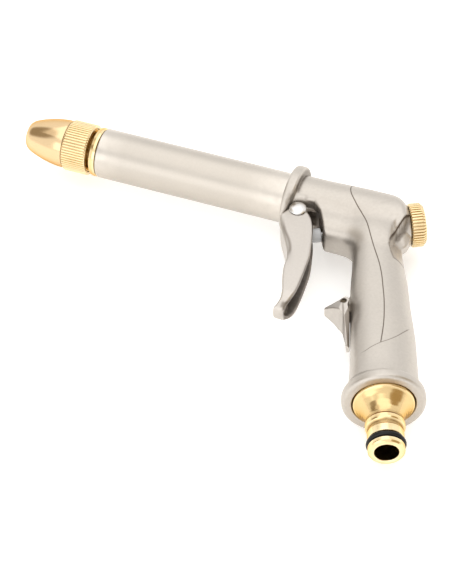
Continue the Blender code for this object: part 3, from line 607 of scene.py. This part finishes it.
def build(name, co, faces, normals=None, wear_and_sheen=None, painted_shade=None):
    mesh = bpy.data.meshes.new(name)
    nv, nf = len(co), len(faces)
    k = faces.shape[1]
    mesh.vertices.add(nv)
    mesh.vertices.foreach_set("co", np.ascontiguousarray(co, dtype=F).ravel())
    mesh.loops.add(nf * k)
    mesh.loops.foreach_set("vertex_index", faces.astype(np.int32).ravel())
    mesh.polygons.add(nf)
    mesh.polygons.foreach_set("loop_start", np.arange(0, nf * k, k, dtype=np.int32))
    mesh.polygons.foreach_set("use_smooth", np.ones(nf, bool))
    mesh.update(calc_edges=True)
    mesh.validate()
    for label, values in (("wear_and_sheen", wear_and_sheen), ("painted_shade", painted_shade)):
        at = mesh.attributes.new(label, 'FLOAT', 'POINT')
        if values is not None and len(values) == len(mesh.vertices):
            at.data.foreach_set("value", np.ascontiguousarray(values, dtype=F))
    if normals is not None and len(normals) == len(mesh.vertices):
        mesh.normals_split_custom_set_from_vertices([tuple(n) for n in normals.tolist()])
    ob = bpy.data.objects.new(name, mesh)
    bpy.context.scene.collection.objects.link(ob)
    return ob


def axis_matrix(origin, axis):
    q = Vector(axis).normalized().to_track_quat('Z', 'Y')
    return Matrix.Translation(V(*origin)) @ q.to_matrix().to_4x4()


AX_BARREL = ((0.0, 0.0, 0.0), (1.0, 0.0, 0.0))
AX_VALVE = (on_valve(0.0), (DK[0], DK[1], 0.0))
AX_HANDLE = (on_handle(0.0), (DH[0], DH[1], 0.0))


def rounded(points, closed):
    """Points (r, s[, radius]) with each corner rounded: (r, s, normal r, normal s, edge mark), the edge
    mark being wear with a painted highlight on convex corners and, below zero, painted shade on concave
    ones.
    """
    P = [np.array(p[:2], float) for p in points]
    rad = [p[2] if len(p) > 2 else 0.25 for p in points]
    n = len(P)

    def left(d):      # outward normal for an outline that runs down the outer side
        return np.array([-d[1], d[0]]) / max(np.linalg.norm(d), 1e-9)

    out = []
    for i in range(n):
        a = P[i - 1] if (closed or i > 0) else None
        b = P[(i + 1) % n] if (closed or i < n - 1) else None
        p = P[i]
        if a is None or b is None:
            d = (b - p) if a is None else (p - a)
            nn = left(d)
            out.append((p[0], p[1], nn[0], nn[1], 0.0))
            continue
        d0, d1 = p - a, b - p
        l0, l1 = np.linalg.norm(d0), np.linalg.norm(d1)
        u0, u1 = d0 / l0, d1 / l1
        cosine = float(np.clip(u0 @ u1, -1, 1))
        theta = math.acos(cosine)
        n0, n1 = left(d0), left(d1)
        if theta < math.radians(3):
            m = n0 + n1
            m /= np.linalg.norm(m)
            out.append((p[0], p[1], m[0], m[1], 0.0))
            continue
        r = rad[i]
        cutback = min(r * math.tan(theta / 2), 0.45 * l0, 0.45 * l1)
        r = cutback / math.tan(theta / 2)
        s = p - u0 * cutback
        e = p + u1 * cutback
        cross = u0[0] * u1[1] - u0[1] * u1[0]
        convex = cross < 0
        steps = max(2, int(math.ceil(math.degrees(theta) / 18)))
        centre = s + (-n0 if convex else n0) * r
        for j in range(steps + 1):
            f = j / steps
            nn = n0 * math.sin((1 - f) * theta) + n1 * math.sin(f * theta)
            nn /= max(np.linalg.norm(nn), 1e-9)
            q = centre + (nn if convex else -nn) * r
            # convex corners: wear with a painted highlight; concave corners: painted shade
            w = (1.0 if convex else 0.0) * min(1.0, theta / 1.2) * min(1.0, 0.45 / max(r, 0.1))
            g = 0.0 if convex else -0.8 * min(1.0, theta / 1.2)
            out.append((q[0], q[1], nn[0], nn[1], w if convex else g))
    return out


def turn(name, profile, axis, seg=160, closed=False, ribs=None):
    """A turned piece with rounded corners, its local Z along the axis.
    profile: (radius, position[, corner radius]), down the outer side and back up the bore.
    ribs: (count, depth, s0, s1) for straight ribs cut into radii between s0 and s1."""
    prof = rounded(profile, closed)
    if ribs:
        fine = []
        n = len(prof)
        for i in range(n):
            fine.append(prof[i])
        prof = fine
        seg = ribs[0] * 8
    n = len(prof)
    pr = np.array(prof)
    th = np.arange(seg) * math.tau / seg
    r = np.repeat(pr[:, 0][:, None], seg, 1)
    cs, sn = np.cos(th)[None, :], np.sin(th)[None, :]
    if ribs:
        count, depth, s0, s1, rmin = ribs
        ph = (th * count / math.tau) % 1.0
        shape = np.clip((np.abs(ph - 0.5) * 2 - 0.42) / 0.34, 0, 1)
        shape = shape * shape * (3 - 2 * shape)
        on = ((pr[:, 1] >= s0) & (pr[:, 1] <= s1) & (pr[:, 0] > rmin))[:, None]
        r = r - on * depth * shape[None, :]
    co = np.stack([r * cs, r * sn, np.repeat(pr[:, 1][:, None], seg, 1)], -1)
    nrm = np.stack([pr[:, 2][:, None] * cs, pr[:, 2][:, None] * sn,
                    np.repeat(pr[:, 3][:, None], seg, 1)], -1)
    idx = np.arange(n * seg).reshape(n, seg)
    nxt = np.roll(idx, -1, 1)
    rows = range(n) if closed else range(n - 1)
    faces = []
    for i in rows:
        j = (i + 1) % n
        faces.append(np.stack([idx[i], idx[j], nxt[j], nxt[i]], 1))
    faces = np.concatenate(faces)
    # wear with a painted highlight on convex rows, painted shade on concave rows; on the ribs, a
    # painted highlight near the crests and painted shade in the grooves
    wear_and_sheen = np.repeat(np.clip(pr[:, 4], 0, 1)[:, None], seg, 1)
    painted_shade = np.repeat(np.clip(-pr[:, 4], 0, 1)[:, None], seg, 1)
    if ribs:
        wear_and_sheen = np.maximum(wear_and_sheen * 0.6, on * np.clip(1 - np.abs(shape[None, :] - 0.15) / 0.3, 0, 1) * 0.5)
        painted_shade = np.maximum(painted_shade, on * shape[None, :] * 0.65)
    ob = build(name, co.reshape(-1, 3) * MM, faces, None if ribs else nrm.reshape(-1, 3),
               wear_and_sheen.ravel(), painted_shade.ravel())
    if ribs:
        ob.data.set_sharp_from_angle(angle=math.radians(38))
    ob.matrix_world = axis_matrix(*axis)
    return ob


def paint_shade(ob, radius, s0, s1, amount):
    """Painted shade on the rows of a turned piece between s0 and s1, inside a radius."""
    co = np.empty(len(ob.data.vertices) * 3, F)
    ob.data.vertices.foreach_get("co", co)
    co = co.reshape(-1, 3) / MM
    on = (np.hypot(co[:, 0], co[:, 1]) < radius) & (co[:, 2] > s0) & (co[:, 2] < s1)
    at = ob.data.attributes["painted_shade"]
    old = np.empty(len(co), F)
    at.data.foreach_get("value", old)
    at.data.foreach_set("value", np.where(on, F(amount), old).astype(F))


def torus(name, major, minor, axis, at, squash=1.0):
    o, d = axis
    p = (o[0] + d[0] * at, o[1] + d[1] * at, 0.0)
    n, m = 144, 24
    a = np.arange(n) * math.tau / n
    b = np.arange(m) * math.tau / m
    A, B = np.meshgrid(a, b, indexing='ij')
    R = major + minor * squash * np.cos(B)
    co = np.stack([R * np.cos(A), R * np.sin(A), minor * np.sin(B)], -1).reshape(-1, 3)
    idx = np.arange(n * m).reshape(n, m)
    i1, j1 = np.roll(idx, -1, 0), np.roll(idx, -1, 1)
    faces = np.stack([idx, i1, np.roll(i1, -1, 1), j1], -1).reshape(-1, 4)
    ob = build(name, co * MM, faces)
    ob.matrix_world = axis_matrix(p, d)
    return ob


# ================================================================== materials
def metal(name, colour, rough, grain=0.0, grain_size=0.4, blotch=0.06, turned=False,
          brushed=False, dark=(0.16, 0.13, 0.10), shine=None, wear_to=0.5, axis_space=False,
          shade_amount=1.0, seams=(), edge=None):
    m = bpy.data.materials.new(name)
    m.use_nodes = True
    t = m.node_tree
    N, L = t.nodes, t.links
    b = N["Principled BSDF"]
    b.inputs["Metallic"].default_value = 1.0
    if edge:
        b.inputs["Specular Tint"].default_value = (*edge, 1.0)
    tc = N.new('ShaderNodeTexCoord')
    coord = tc.outputs['Object']

    def noise(scale, detail=2.0, vec=None, rough=0.5):
        n = N.new('ShaderNodeTexNoise')
        n.inputs['Scale'].default_value = scale
        n.inputs['Detail'].default_value = detail
        n.inputs['Roughness'].default_value = rough
        L.new(vec if vec is not None else coord, n.inputs['Vector'])
        return n.outputs['Fac']

    def stretch(v, s):
        n = N.new('ShaderNodeVectorMath')
        n.operation = 'MULTIPLY'
        L.new(v, n.inputs[0])
        n.inputs[1].default_value = s
        return n.outputs['Vector']

    def ramp(v, a0, a1, b0, b1):
        n = N.new('ShaderNodeMapRange')
        n.inputs['From Min'].default_value = a0
        n.inputs['From Max'].default_value = a1
        n.inputs['To Min'].default_value = b0
        n.inputs['To Max'].default_value = b1
        L.new(v, n.inputs['Value'])
        return n.outputs['Result']

    def maths(op, a, c):
        n = N.new('ShaderNodeMath')
        n.operation = op
        for i, v in enumerate((a, c)):
            if isinstance(v, (int, float)):
                n.inputs[i].default_value = v
            else:
                L.new(v, n.inputs[i])
        return n.outputs[0]

    def mix(fac, a, c):
        n = N.new('ShaderNodeMix')
        n.data_type = 'RGBA'
        if isinstance(fac, (int, float)):
            n.inputs['Factor'].default_value = fac
        else:
            L.new(fac, n.inputs['Factor'])
        for i, v in ((6, a), (7, c)):
            if isinstance(v, tuple):
                n.inputs[i].default_value = (*v, 1.0)
            else:
                L.new(v, n.inputs[i])
        return n.outputs[2]

    wear_and_sheen = N.new('ShaderNodeAttribute')
    wear_and_sheen.attribute_name = "wear_and_sheen"
    painted_shade = N.new('ShaderNodeAttribute')
    painted_shade.attribute_name = "painted_shade"
    broad = noise(70.0, 3.0)
    fine = noise(900.0 / grain_size * 0.55, 2.0, rough=0.6)
    lo = tuple(c * (1 - blotch) for c in colour)
    hi = tuple(min(1.0, c * (1 + blotch)) for c in colour)
    col = mix(ramp(broad, 0.3, 0.7, 0.0, 1.0), lo, hi)
    speck = ramp(fine, 0.35, 0.75, 0.0, 1.0)
    col = mix(maths('MULTIPLY', speck, 0.22 * min(1.0, grain * 2 + 0.2)), col,
              tuple(c * 0.78 for c in colour))
    # edge wear that doubles as a painted highlight: sharp edges brighten toward the bright colour
    wear_sheen = maths('MULTIPLY', wear_and_sheen.outputs['Fac'], ramp(noise(260.0, 3.0), 0.25, 0.6, 0.35, 1.0))
    bright = shine or tuple(min(1.0, c * 1.18 + 0.05) for c in colour)
    col = mix(maths('MULTIPLY', wear_sheen, 0.75), col, bright)
    # painted shade: the colour darkens toward the dark colour where the painted_shade attribute is high
    shade_mix = maths('MULTIPLY', maths('MULTIPLY', painted_shade.outputs['Fac'], shade_amount),
                  ramp(noise(420.0, 3.0), 0.2, 0.6, 0.7, 1.0))
    col = mix(shade_mix, col, dark)
    sunk = None
    # lines: dark groove seams, and painted shade lines along the trigger's crease and the step's edge
    for label, width, soft_edge, strength in seams:
        d = N.new('ShaderNodeAttribute')
        d.attribute_name = label
        on = N.new('ShaderNodeAttribute')
        on.attribute_name = label + "_on"
        near = ramp(maths('ABSOLUTE', d.outputs['Fac'], 0.0), width, width + soft_edge, 1.0, 0.0)
        near = maths('MULTIPLY', near, on.outputs['Fac'])
        col = mix(maths('MULTIPLY', near, strength), col, dark)
        low = maths('MULTIPLY', near, strength)
        sunk = low if sunk is None else maths('MAXIMUM', sunk, low)
    L.new(col, b.inputs['Base Color'])
    r = ramp(broad, 0.25, 0.75, rough * 0.88, rough * 1.12)
    r = maths('ADD', r, maths('MULTIPLY', speck, 0.06 * min(1.0, grain + 0.2)))
    r = maths('SUBTRACT', r, maths('MULTIPLY', wear_sheen, rough * wear_to * 0.6))
    r = maths('ADD', r, maths('MULTIPLY', shade_mix, 0.2))
    L.new(r, b.inputs['Roughness'])
    height = None
    if grain > 0:
        height = maths('MULTIPLY', noise(900.0 / grain_size, 3.0, rough=0.65), grain)
    if brushed:
        v = stretch(coord, (0.02, 1.0, 1.0) if not axis_space else (1.0, 1.0, 0.02))
        h2 = maths('MULTIPLY', noise(2600.0, 2.0, vec=v), 0.25)
        height = h2 if height is None else maths('ADD', height, h2)
    if turned:
        sep = N.new('ShaderNodeSeparateXYZ')
        L.new(coord, sep.inputs[0])
        rr = maths('SQRT', maths('ADD', maths('MULTIPLY', sep.outputs['X'], sep.outputs['X']),
                                 maths('MULTIPLY', sep.outputs['Y'], sep.outputs['Y'])), 0.0)
        comb = N.new('ShaderNodeCombineXYZ')
        L.new(rr, comb.inputs['X'])
        L.new(sep.outputs['Z'], comb.inputs['Y'])
        h2 = maths('MULTIPLY', noise(2400.0, 2.0, vec=comb.outputs['Vector'], rough=0.7), 0.35)
        height = h2 if height is None else maths('ADD', height, h2)
    if sunk is not None:
        deep = maths('MULTIPLY', sunk, -1.2)
        height = deep if height is None else maths('ADD', height, deep)
    if height is not None:
        bump = N.new('ShaderNodeBump')
        bump.inputs['Strength'].default_value = 0.35
        bump.inputs['Distance'].default_value = 0.00012
        L.new(height, bump.inputs['Height'])
        L.new(bump.outputs['Normal'], b.inputs['Normal'])
    return m


def soft(name, colour, rough, spec=0.5, dark=0.75, scale=500.0, bump=0.2, coat=0.0,
         scatter=0.0):
    m = bpy.data.materials.new(name)
    m.use_nodes = True
    t = m.node_tree
    N, L = t.nodes, t.links
    b = N["Principled BSDF"]
    b.inputs["Metallic"].default_value = 0.0
    b.inputs["Specular IOR Level"].default_value = spec
    b.inputs["Coat Weight"].default_value = coat
    tc = N.new('ShaderNodeTexCoord')
    n = N.new('ShaderNodeTexNoise')
    n.inputs['Scale'].default_value = scale
    n.inputs['Detail'].default_value = 3.0
    L.new(tc.outputs['Object'], n.inputs['Vector'])
    mix = N.new('ShaderNodeMix')
    mix.data_type = 'RGBA'
    L.new(n.outputs['Fac'], mix.inputs['Factor'])
    mix.inputs[6].default_value = (*[c * dark for c in colour], 1.0)
    mix.inputs[7].default_value = (*colour, 1.0)
    L.new(mix.outputs[2], b.inputs['Base Color'])
    mr = N.new('ShaderNodeMapRange')
    mr.inputs['To Min'].default_value = rough * 0.8
    mr.inputs['To Max'].default_value = rough * 1.2
    L.new(n.outputs['Fac'], mr.inputs['Value'])
    L.new(mr.outputs['Result'], b.inputs['Roughness'])
    bp = N.new('ShaderNodeBump')
    bp.inputs['Strength'].default_value = bump
    bp.inputs['Distance'].default_value = 0.0001
    L.new(n.outputs['Fac'], bp.inputs['Height'])
    L.new(bp.outputs['Normal'], b.inputs['Normal'])
    return m


CAST = metal("satin_nickel_cast", (0.535, 0.497, 0.452), 0.44, grain=0.6, grain_size=0.6,
             blotch=0.03, dark=(0.075, 0.052, 0.035), wear_to=0.35,
             seams=(("groove_and_crease_shade", 0.14, 0.18, 0.85), ("seam_b", 0.10, 0.18, 0.60),
                    ("step_shade_line", 0.10, 0.22, 0.9)))
TRIG = metal("satin_nickel_trigger", (0.530, 0.494, 0.455), 0.40, grain=0.35, grain_size=0.6,
             blotch=0.03, dark=(0.085, 0.058, 0.036), wear_to=0.5,
             seams=(("groove_and_crease_shade", 0.12, 0.95, 0.55),))
TUBE = metal("satin_nickel_tube", (0.520, 0.480, 0.430), 0.38, grain=0.25, grain_size=0.45,
             blotch=0.03, brushed=True, axis_space=True)
PIN = metal("rivet_steel", (0.70, 0.69, 0.68), 0.30, grain=0.1, blotch=0.03, turned=True)
GOLD = metal("polished_brass", (0.77, 0.565, 0.285), 0.16, blotch=0.03, turned=True,
             dark=(0.16, 0.085, 0.02), shine=(1.0, 0.86, 0.56), edge=(0.88, 0.66, 0.38))
GOLD_TIP = metal("polished_brass_tip", (0.755, 0.555, 0.325), 0.17, blotch=0.03, turned=True,
                 dark=(0.16, 0.085, 0.02), shine=(1.0, 0.88, 0.62), edge=(0.72, 0.50, 0.28))
KNURL = metal("ribbed_brass", (0.77, 0.585, 0.33), 0.24, blotch=0.04, grain=0.1,
              shade_amount=0.65,
              dark=(0.30, 0.16, 0.03), shine=(1.0, 0.90, 0.60))
DULL = metal("machined_brass", (0.72, 0.55, 0.28), 0.30, blotch=0.05, grain=0.1)
BLACK = metal("dark_brass_and_hole_shade", (0.10, 0.08, 0.055), 0.5, blotch=0.05)
STEEL = metal("turned_steel", (0.72, 0.72, 0.71), 0.25, blotch=0.04, grain=0.1)
NYLON = soft("natural_nylon", (0.56, 0.565, 0.57), 0.42, spec=0.5, dark=0.88, bump=0.15)
RUBBER = soft("nitrile_rubber", (0.010, 0.010, 0.010), 0.30, spec=0.25, dark=0.6, bump=0.1)


def dress(ob, material, body, slot, *nodes):
    ob.data.materials.clear()
    ob.data.materials.append(material)
    if nodes:
        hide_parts(*nodes)
    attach(ob, body)
    return ob


# ===================================================================== pieces
FINE = 1.0
casting = skin("casting_skin", casting_field, (-12.0, -112.6, 0.0), (88.0, 18.0, 20.0),
               0.5 * FINE)
mark(casting, GROOVES[:1], "groove_and_crease_shade")
mark(casting, GROOVES[1:], "seam_b")
# painted shade line along the step's edge
mark(casting, [(STEP[:8], 0.0, 0.3)], "step_shade_line")
dress(casting, CAST, "body", "cast_nickel", "body_casting")
trigger = skin("trigger_skin", trigger_field, (-10.0, -78.6, 0.0), (17.5, -5.6, 9.6),
               0.34 * FINE)
# painted shade along the crease between the finger strip and the wing
mark(trigger, [CREASE], "groove_and_crease_shade")
dress(trigger, TRIG, "trigger", "trigger_nickel", "trigger")
leaf = skin("catch_skin", catch_field, (27.0, -84.0, 0.0), (50.0, -54.0, 8.4), 0.24 * FINE)
mark(leaf, [], "groove_and_crease_shade")
dress(leaf, TRIG, "catch", "trigger_nickel", "lock_catch")

tube = turn("barrel_skin",
            [(7.4, 2.0), (7.4, -0.4), (6.4, -0.4), (6.4, -1.9), (7.4, -1.9), (7.4, -7.0),
             (11.7, -7.0), (11.7, -30.0), (11.7, -60.0), (11.7, -90.0), (11.7, -103.4, 0.6),
             (9.6, -103.4), (9.6, -12.0), (5.6, -10.0), (5.6, 2.0)], AX_BARREL, 192, True)
dress(tube, TUBE, "body", "barrel_satin", "barrel_tube")

neck = turn("nozzle_neck_skin",
            [(0.0, -113.0), (6.4, -113.0), (6.4, -91.0), (9.3, -91.0), (9.3, -101.6),
             (8.4, -101.6), (8.4, -102.8), (9.3, -102.8), (9.3, -103.65), (11.5, -103.65, 0.5),
             (11.65, -105.0, 0.8), (11.35, -106.4, 0.5), (11.0, -106.75), (8.3, -106.75),
             (8.3, -117.6), (7.6, -118.3), (2.6, -118.3), (2.0, -119.5), (1.9, -137.0),
             (0.9, -139.0), (0.0, -139.0)], AX_BARREL, 160)
# painted shade on the neck, in the gap between the grip ring and the collar
paint_shade(neck, 8.8, -118.0, -106.5, 1.0)
dress(neck, GOLD, "body", "brass", "nozzle_spindle")

BULLET = spline([(11.20, -120.9), (11.32, -122.7), (11.15, -125.3), (10.60, -128.9),
                 (9.70, -132.7), (8.60, -136.2), (7.5, -138.9), (6.3, -140.6), (5.2, -141.3)], 6)
tip = turn("nozzle_tip_skin",
           [(8.6, -108.7), (10.2, -108.7), (10.2, -120.7), (10.95, -120.7, 0.2)] + BULLET
           + [(4.6, -141.4), (3.6, -141.4), (2.6, -140.4), (2.6, -136.0), (4.0, -133.5),
              (8.6, -123.5), (8.6, -113.0), (9.45, -113.0), (9.45, -111.6), (8.6, -111.6)],
           AX_BARREL, 192, True)
# painted shade on the tip's shoulder, where it meets the grip ring
paint_shade(tip, 11.4, -121.05, -120.4, 0.8)
dress(tip, GOLD_TIP, "nozzle_head", "nozzle_brass", "nozzle_tip")

grip = turn("nozzle_grip_skin",
            [(10.5, -108.4), (11.4, -108.4, 0.3), (12.1, -109.1, 0.3), (12.1, -114.0),
             (12.1, -119.9, 0.3), (11.5, -120.6, 0.3), (10.5, -120.6)], AX_BARREL, closed=True,
            ribs=(58, 0.42, -120.2, -108.8, 11.7))
dress(grip, KNURL, "nozzle_head", "nozzle_brass", "nozzle_grip_ring")

knob = turn("flow_knob_skin",
            [(3.4, 6.8, 0.2), (8.5, 6.8, 0.8), (9.35, 5.9, 0.4), (10.06, 5.3, 0.3), (10.06, 3.0),
             (10.06, 0.5, 0.3), (9.5, 0.0, 0.2), (2.95, 0.0), (2.95, 3.7), (1.75, 3.7),
             (1.75, 5.0), (3.4, 5.0)], AX_VALVE, closed=True, ribs=(44, 0.62, 0.1, 6.0, 9.2))
dress(knob, KNURL, "flow_control", "knob_brass", "flow_knob")
screw = turn("knob_screw_skin",
             [(0.0, 6.5), (2.4, 6.5, 0.5), (3.0, 6.0, 0.4), (3.0, 5.25), (1.4, 5.25), (1.4, 0.7),
              (1.0, 0.4), (0.0, 0.4)], AX_VALVE, 96)
dress(screw, STEEL, "flow_control", "steel", "knob_screw")

inlet = turn("inlet_skin",
             [(5.2, 26.6, 0.4), (7.2, 26.6, 0.7), (7.95, 25.7, 0.6), (7.95, 23.8, 0.3),
              (6.2, 23.8), (6.2, 20.4), (7.95, 20.4, 0.25), (7.95, 16.7, 0.3), (7.4, 16.0, 0.3),
              (7.4, 14.4, 0.3), (8.3, 13.8, 0.4), (8.6, 13.1, 0.4), (8.6, 11.5, 0.4),
              (8.0, 10.6, 0.6), (8.0, 8.9, 2.5), (8.5, 7.0, 6.0), (9.5, 4.8, 6.0),
              (10.9, 2.7, 6.0), (12.3, 1.15, 3.0), (13.2, 0.45, 0.8),
              (13.4, -0.4, 0.3), (13.4, -6.6), (10.4, -6.6), (10.4, -15.6), (10.0, -16.0),
              (7.0, -16.0), (5.2, -12.0)], AX_HANDLE, 192, True)
dress(inlet, GOLD, "body", "inlet_brass", "inlet_adapter")
seal = torus("nipple_oring_skin", 7.5, 1.1, AX_HANDLE, 22.1)
dress(seal, RUBBER, "body", "rubber", "nipple_oring")

rivet = turn("trigger_pin_skin",
             [(0.0, 9.0), (1.6, 8.93, 3.0), (2.9, 8.6, 2.0), (3.8, 8.1, 1.0), (4.2, 7.55, 0.2),
              (2.0, 7.55), (2.0, -7.66), (3.0, -7.66, 0.3), (2.6, -8.3, 0.4), (1.6, -8.6, 0.4),
              (0.0, -8.6)], ((PIVOT[0], PIVOT[1], 0.0), (0.0, 0.0, 1.0)), 96)
dress(rivet, PIN, "body", "steel", "trigger_pin")
cap = turn("stem_cap_skin",
           [(0.0, -46.6), (1.8, -46.6), (1.8, -40.6), (2.95, -40.6, 0.3), (3.25, -41.0, 0.2),
            (3.25, -48.0, 0.6), (2.4, -48.95, 0.6), (1.2, -49.15, 1.0), (0.0, -49.2)],
           AX_VALVE, 96)
dress(cap, NYLON, "valve_stem_set", "cap_nylon", "stem_cap")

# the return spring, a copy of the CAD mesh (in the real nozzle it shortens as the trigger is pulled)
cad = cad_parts["valve_spring"]
bpy.context.view_layer.update()
spring = bpy.data.objects.new("valve_spring_skin", cad.data.copy())
bpy.context.scene.collection.objects.link(spring)
spring.matrix_world = cad.matrix_world.copy()
dress(spring, STEEL, "body", "steel", "valve_spring")
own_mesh(spring)

# the catch pin is near black as painted shade, so that it reads as the dark hole
LOOKS = {"valve_stem": STEEL, "catch_pin": BLACK, "poppet_nut": DULL,
         "valve_poppet": DULL, "gland_nut": BLACK, "rear_bonnet": DULL, "flow_spindle": DULL,
         "poppet_washer": RUBBER, "barrel_oring": RUBBER, "spindle_oring": RUBBER,
         "nozzle_seal_ring": RUBBER, "stem_oring": RUBBER, "bonnet_oring": RUBBER,
         "flow_seal_ring": RUBBER, "inlet_washer": RUBBER}
for name, look in LOOKS.items():
    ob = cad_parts[name]
    ob.data.materials.clear()
    ob.data.materials.append(look)

# ============================================================ floor and lights
def flat(name, size, at, colour, rough):
    mesh = bpy.data.meshes.new(name)
    s = size / 2
    mesh.from_pydata([(-s, -s, 0), (s, -s, 0), (s, s, 0), (-s, s, 0)], [], [(0, 1, 2, 3)])
    ob = bpy.data.objects.new(name, mesh)
    bpy.context.scene.collection.objects.link(ob)
    ob.location = at
    m = bpy.data.materials.new(name)
    m.use_nodes = True
    b = m.node_tree.nodes["Principled BSDF"]
    b.inputs["Base Color"].default_value = (*colour, 1.0)
    b.inputs["Roughness"].default_value = rough
    b.inputs["Specular IOR Level"].default_value = 0.1
    b.inputs["Emission Color"].default_value = (1.0, 0.997, 0.99, 1.0)
    b.inputs["Emission Strength"].default_value = 0.30
    mesh.materials.append(m)
    return ob


flat("floor", 8.0, (0.0, 0.0, -0.0004), (0.97, 0.967, 0.96), 0.85)


def area(name, at, aim, size, power, colour=(1.0, 1.0, 1.0), size_y=None):
    d = bpy.data.lights.new(name, 'AREA')
    d.energy = power
    d.color = colour
    d.shape = 'RECTANGLE'
    d.size = size
    d.size_y = size_y or size
    ob = bpy.data.objects.new(name, d)
    bpy.context.scene.collection.objects.link(ob)
    ob.location = at
    ob.rotation_mode = 'QUATERNION'
    ob.rotation_quaternion = (Vector(aim) - Vector(at)).to_track_quat('-Z', 'Y')
    return ob


area("overhead", (-0.15, 0.10, 1.10), (0.0, 0.0, 0.0), 1.5, 4.5, (1.0, 0.99, 0.975))
area("front_low", (-0.20, -1.3, 0.55), (0.0, 0.0, 0.02), 1.4, 3.5, (1.0, 0.99, 0.975), 0.9)
world = bpy.data.worlds.new("studio")
world.use_nodes = True
bg = world.node_tree.nodes["Background"]
wt = world.node_tree
# a plain white room with two soft panels: one before the nozzle, one past the knob
geo = wt.nodes.new('ShaderNodeTexCoord')
room = None
for toward, c0, c1, tone in (((-0.80, -0.06, 0.60), 0.87, 0.95, (0.34, 0.29, 0.22)),
                             ((0.82, -0.04, 0.57), 0.87, 0.92, (0.44, 0.33, 0.18))):
    dot = wt.nodes.new('ShaderNodeVectorMath')
    dot.operation = 'DOT_PRODUCT'
    wt.links.new(geo.outputs['Generated'], dot.inputs[0])
    dot.inputs[1].default_value = Vector(toward).normalized()
    fall = wt.nodes.new('ShaderNodeMapRange')
    fall.interpolation_type = 'SMOOTHSTEP'
    fall.inputs['From Min'].default_value = c0
    fall.inputs['From Max'].default_value = c1
    wt.links.new(dot.outputs['Value'], fall.inputs['Value'])
    shade = wt.nodes.new('ShaderNodeMix')
    shade.data_type = 'RGBA'
    wt.links.new(fall.outputs['Result'], shade.inputs['Factor'])
    if room is None:
        shade.inputs[6].default_value = (1.0, 0.992, 0.98, 1.0)
    else:
        wt.links.new(room, shade.inputs[6])
    shade.inputs[7].default_value = (*tone, 1.0)
    room = shade.outputs[2]
wt.links.new(room, bg.inputs['Color'])
bg.inputs["Strength"].default_value = 1.22
bpy.context.scene.world = world
bpy.context.scene.view_settings.view_transform = 'Standard'

# ===================================================================== camera
ROWS = ((0.9325, 0.3601, -0.0273), (-0.2427, 0.6808, 0.6911), (0.2675, -0.6378, 0.7222))
T0 = Vector((38.8368, 40.4031, -1102.1993))
turnm = Matrix(ROWS).to_quaternion().to_matrix()
cam_data = bpy.data.cameras.new("camera")
cam_data.lens = 2400.0 / 584.0 * 36.0
cam_data.sensor_width = 36.0
cam_data.clip_start = 0.05
cam_data.clip_end = 20.0
camera = bpy.data.objects.new("camera", cam_data)
bpy.context.scene.collection.objects.link(camera)
camera.rotation_mode = 'QUATERNION'
camera.rotation_quaternion = turnm.transposed().to_quaternion()
camera.location = V(*(-(turnm.transposed() @ T0)))
bpy.context.scene.camera = camera

bpy.context.view_layer.update()
